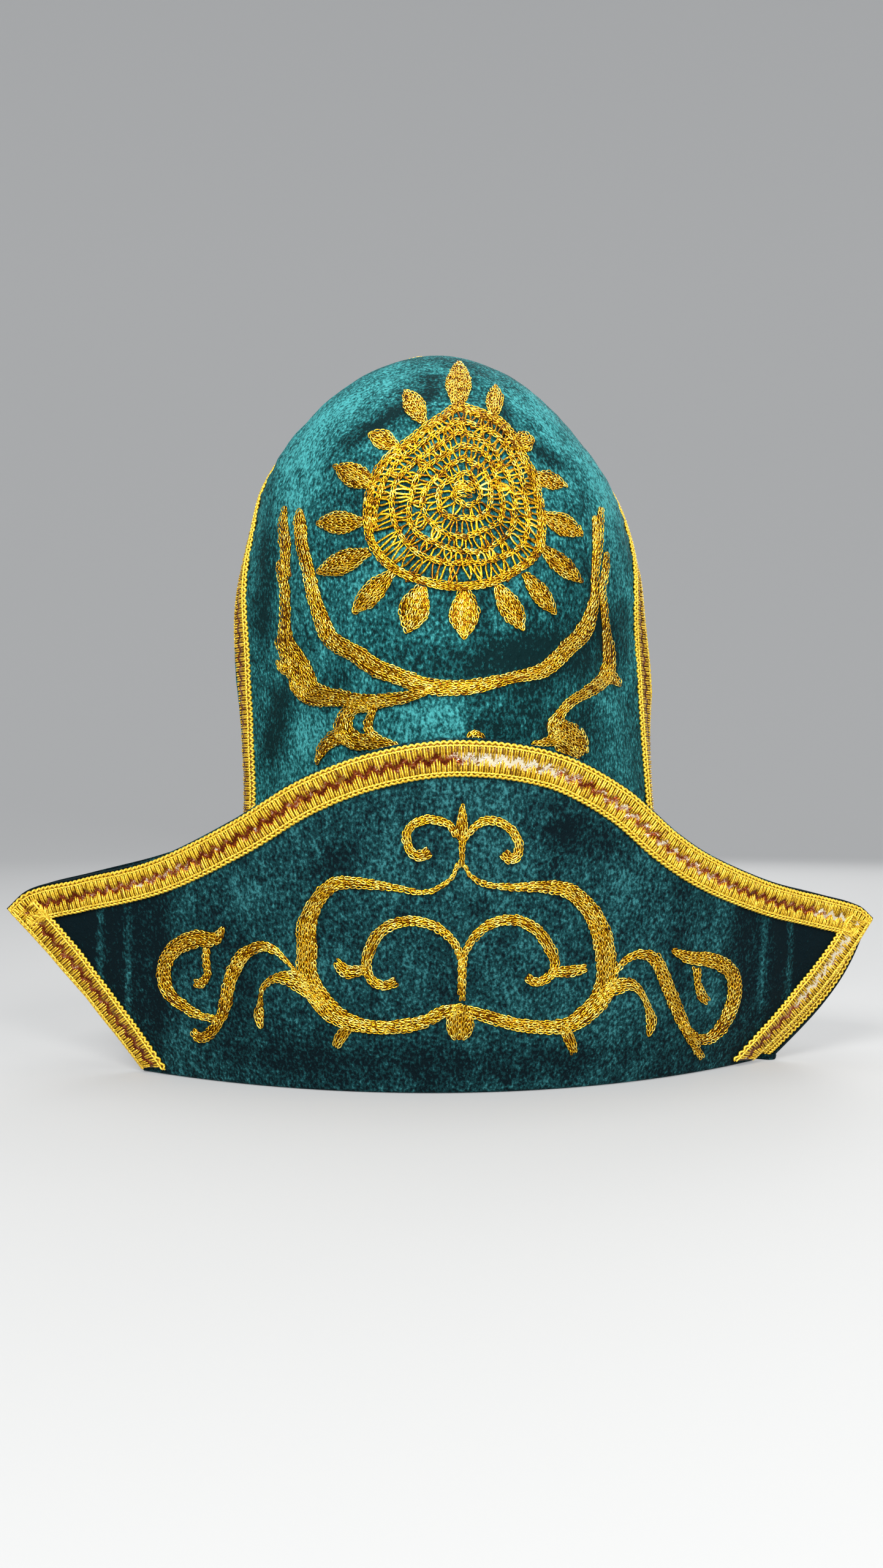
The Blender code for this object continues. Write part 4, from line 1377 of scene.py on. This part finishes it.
stitched("scrolls_middle", brim_tree, SCROLLS_MIDDLE, 29)
stitched("scrolls_left", brim_tree, SCROLLS_LEFT, 31)
stitched("scrolls_right", brim_tree, SCROLLS_RIGHT, 37)


# The studio: a plain pale floor that curves up to a pale wall all round, under soft light from large panels.
FLOOR_REACH = 1.7
WALL_BEND = 1.5
WALL_TOP = 5.0
BEND_STEPS = 24
WALL_SEGMENTS = 96
FLOOR_COLOUR = (0.26, 0.26, 0.255, 1)
WALL_GLOW = 0.30
ROOM_COLOUR = (0.80, 0.82, 0.85, 1)
ROOM_STRENGTH = 0.36

floor_mesh = bmesh.new()
profile = [(0.0, 0.0), (FLOOR_REACH / 2, 0.0)]
for step in range(BEND_STEPS + 1):
    bend = math.pi / 2 * step / BEND_STEPS
    profile.append((FLOOR_REACH + WALL_BEND * math.sin(bend), WALL_BEND * (1 - math.cos(bend))))
profile.append((FLOOR_REACH + WALL_BEND, WALL_TOP))
rings = [[floor_mesh.verts.new((0, 0, 0))]]
for out, height in profile[1:]:
    ring = []
    for segment in range(WALL_SEGMENTS):
        turn = 2 * math.pi * segment / WALL_SEGMENTS
        ring.append(floor_mesh.verts.new((out * math.cos(turn), out * math.sin(turn), height)))
    rings.append(ring)
for near, far in zip(rings, rings[1:]):
    for segment in range(WALL_SEGMENTS):
        following = (segment + 1) % WALL_SEGMENTS
        inside = [near[0]] if len(near) == 1 else [near[following], near[segment]]
        floor_mesh.faces.new([far[segment], far[following], *inside])
floor_data = bpy.data.meshes.new("studio_floor")
floor_mesh.to_mesh(floor_data)
floor_mesh.free()
floor_data.shade_smooth()
floor = bpy.data.objects.new("studio_floor", floor_data)
bpy.context.scene.collection.objects.link(floor)
floor_paint, _, floor_shader = new_material("studio_floor")
set_inputs(floor_shader, {"Base Color": FLOOR_COLOUR, "Roughness": 0.7, "Specular IOR Level": 0.1,
                          "Emission Color": ROOM_COLOUR, "Emission Strength": WALL_GLOW})
floor_data.materials.append(floor_paint)

Panel = namedtuple("Panel", "name x y z width height power")
PANELS = table(
    Panel,
    ("key_panel", -0.55, -1.15, 0.95, 0.5, 0.5, 30),
    ("fill_panel", 1.15, -0.85, 0.55, 0.6, 0.6, 9),
    ("top_panel", 0.05, 0.1, 1.3, 0.9, 0.9, 9),
    ("glint_panel", 0.2, -1.2, 0.58, 0.25, 0.25, 12),
    ("back_panel", 0.5, 1.3, 0.8, 0.9, 0.9, 10),
)
AIM = Vector((0, 0, 0.14))
for panel in PANELS:
    light_data = bpy.data.lights.new(panel.name, "AREA")
    light_data.shape = "RECTANGLE"
    light_data.size = panel.width
    light_data.size_y = panel.height
    light_data.energy = panel.power
    light = bpy.data.objects.new(panel.name, light_data)
    light.location = (panel.x, panel.y, panel.z)
    light.rotation_euler = (AIM - light.location).to_track_quat("-Z", "Y").to_euler()
    bpy.context.scene.collection.objects.link(light)

world = bpy.data.worlds.new("studio_room")
world.use_nodes = True
set_inputs(world.node_tree.nodes["Background"], {"Color": ROOM_COLOUR, "Strength": ROOM_STRENGTH})
bpy.context.scene.world = world
bpy.context.scene.view_settings.view_transform = "Standard"
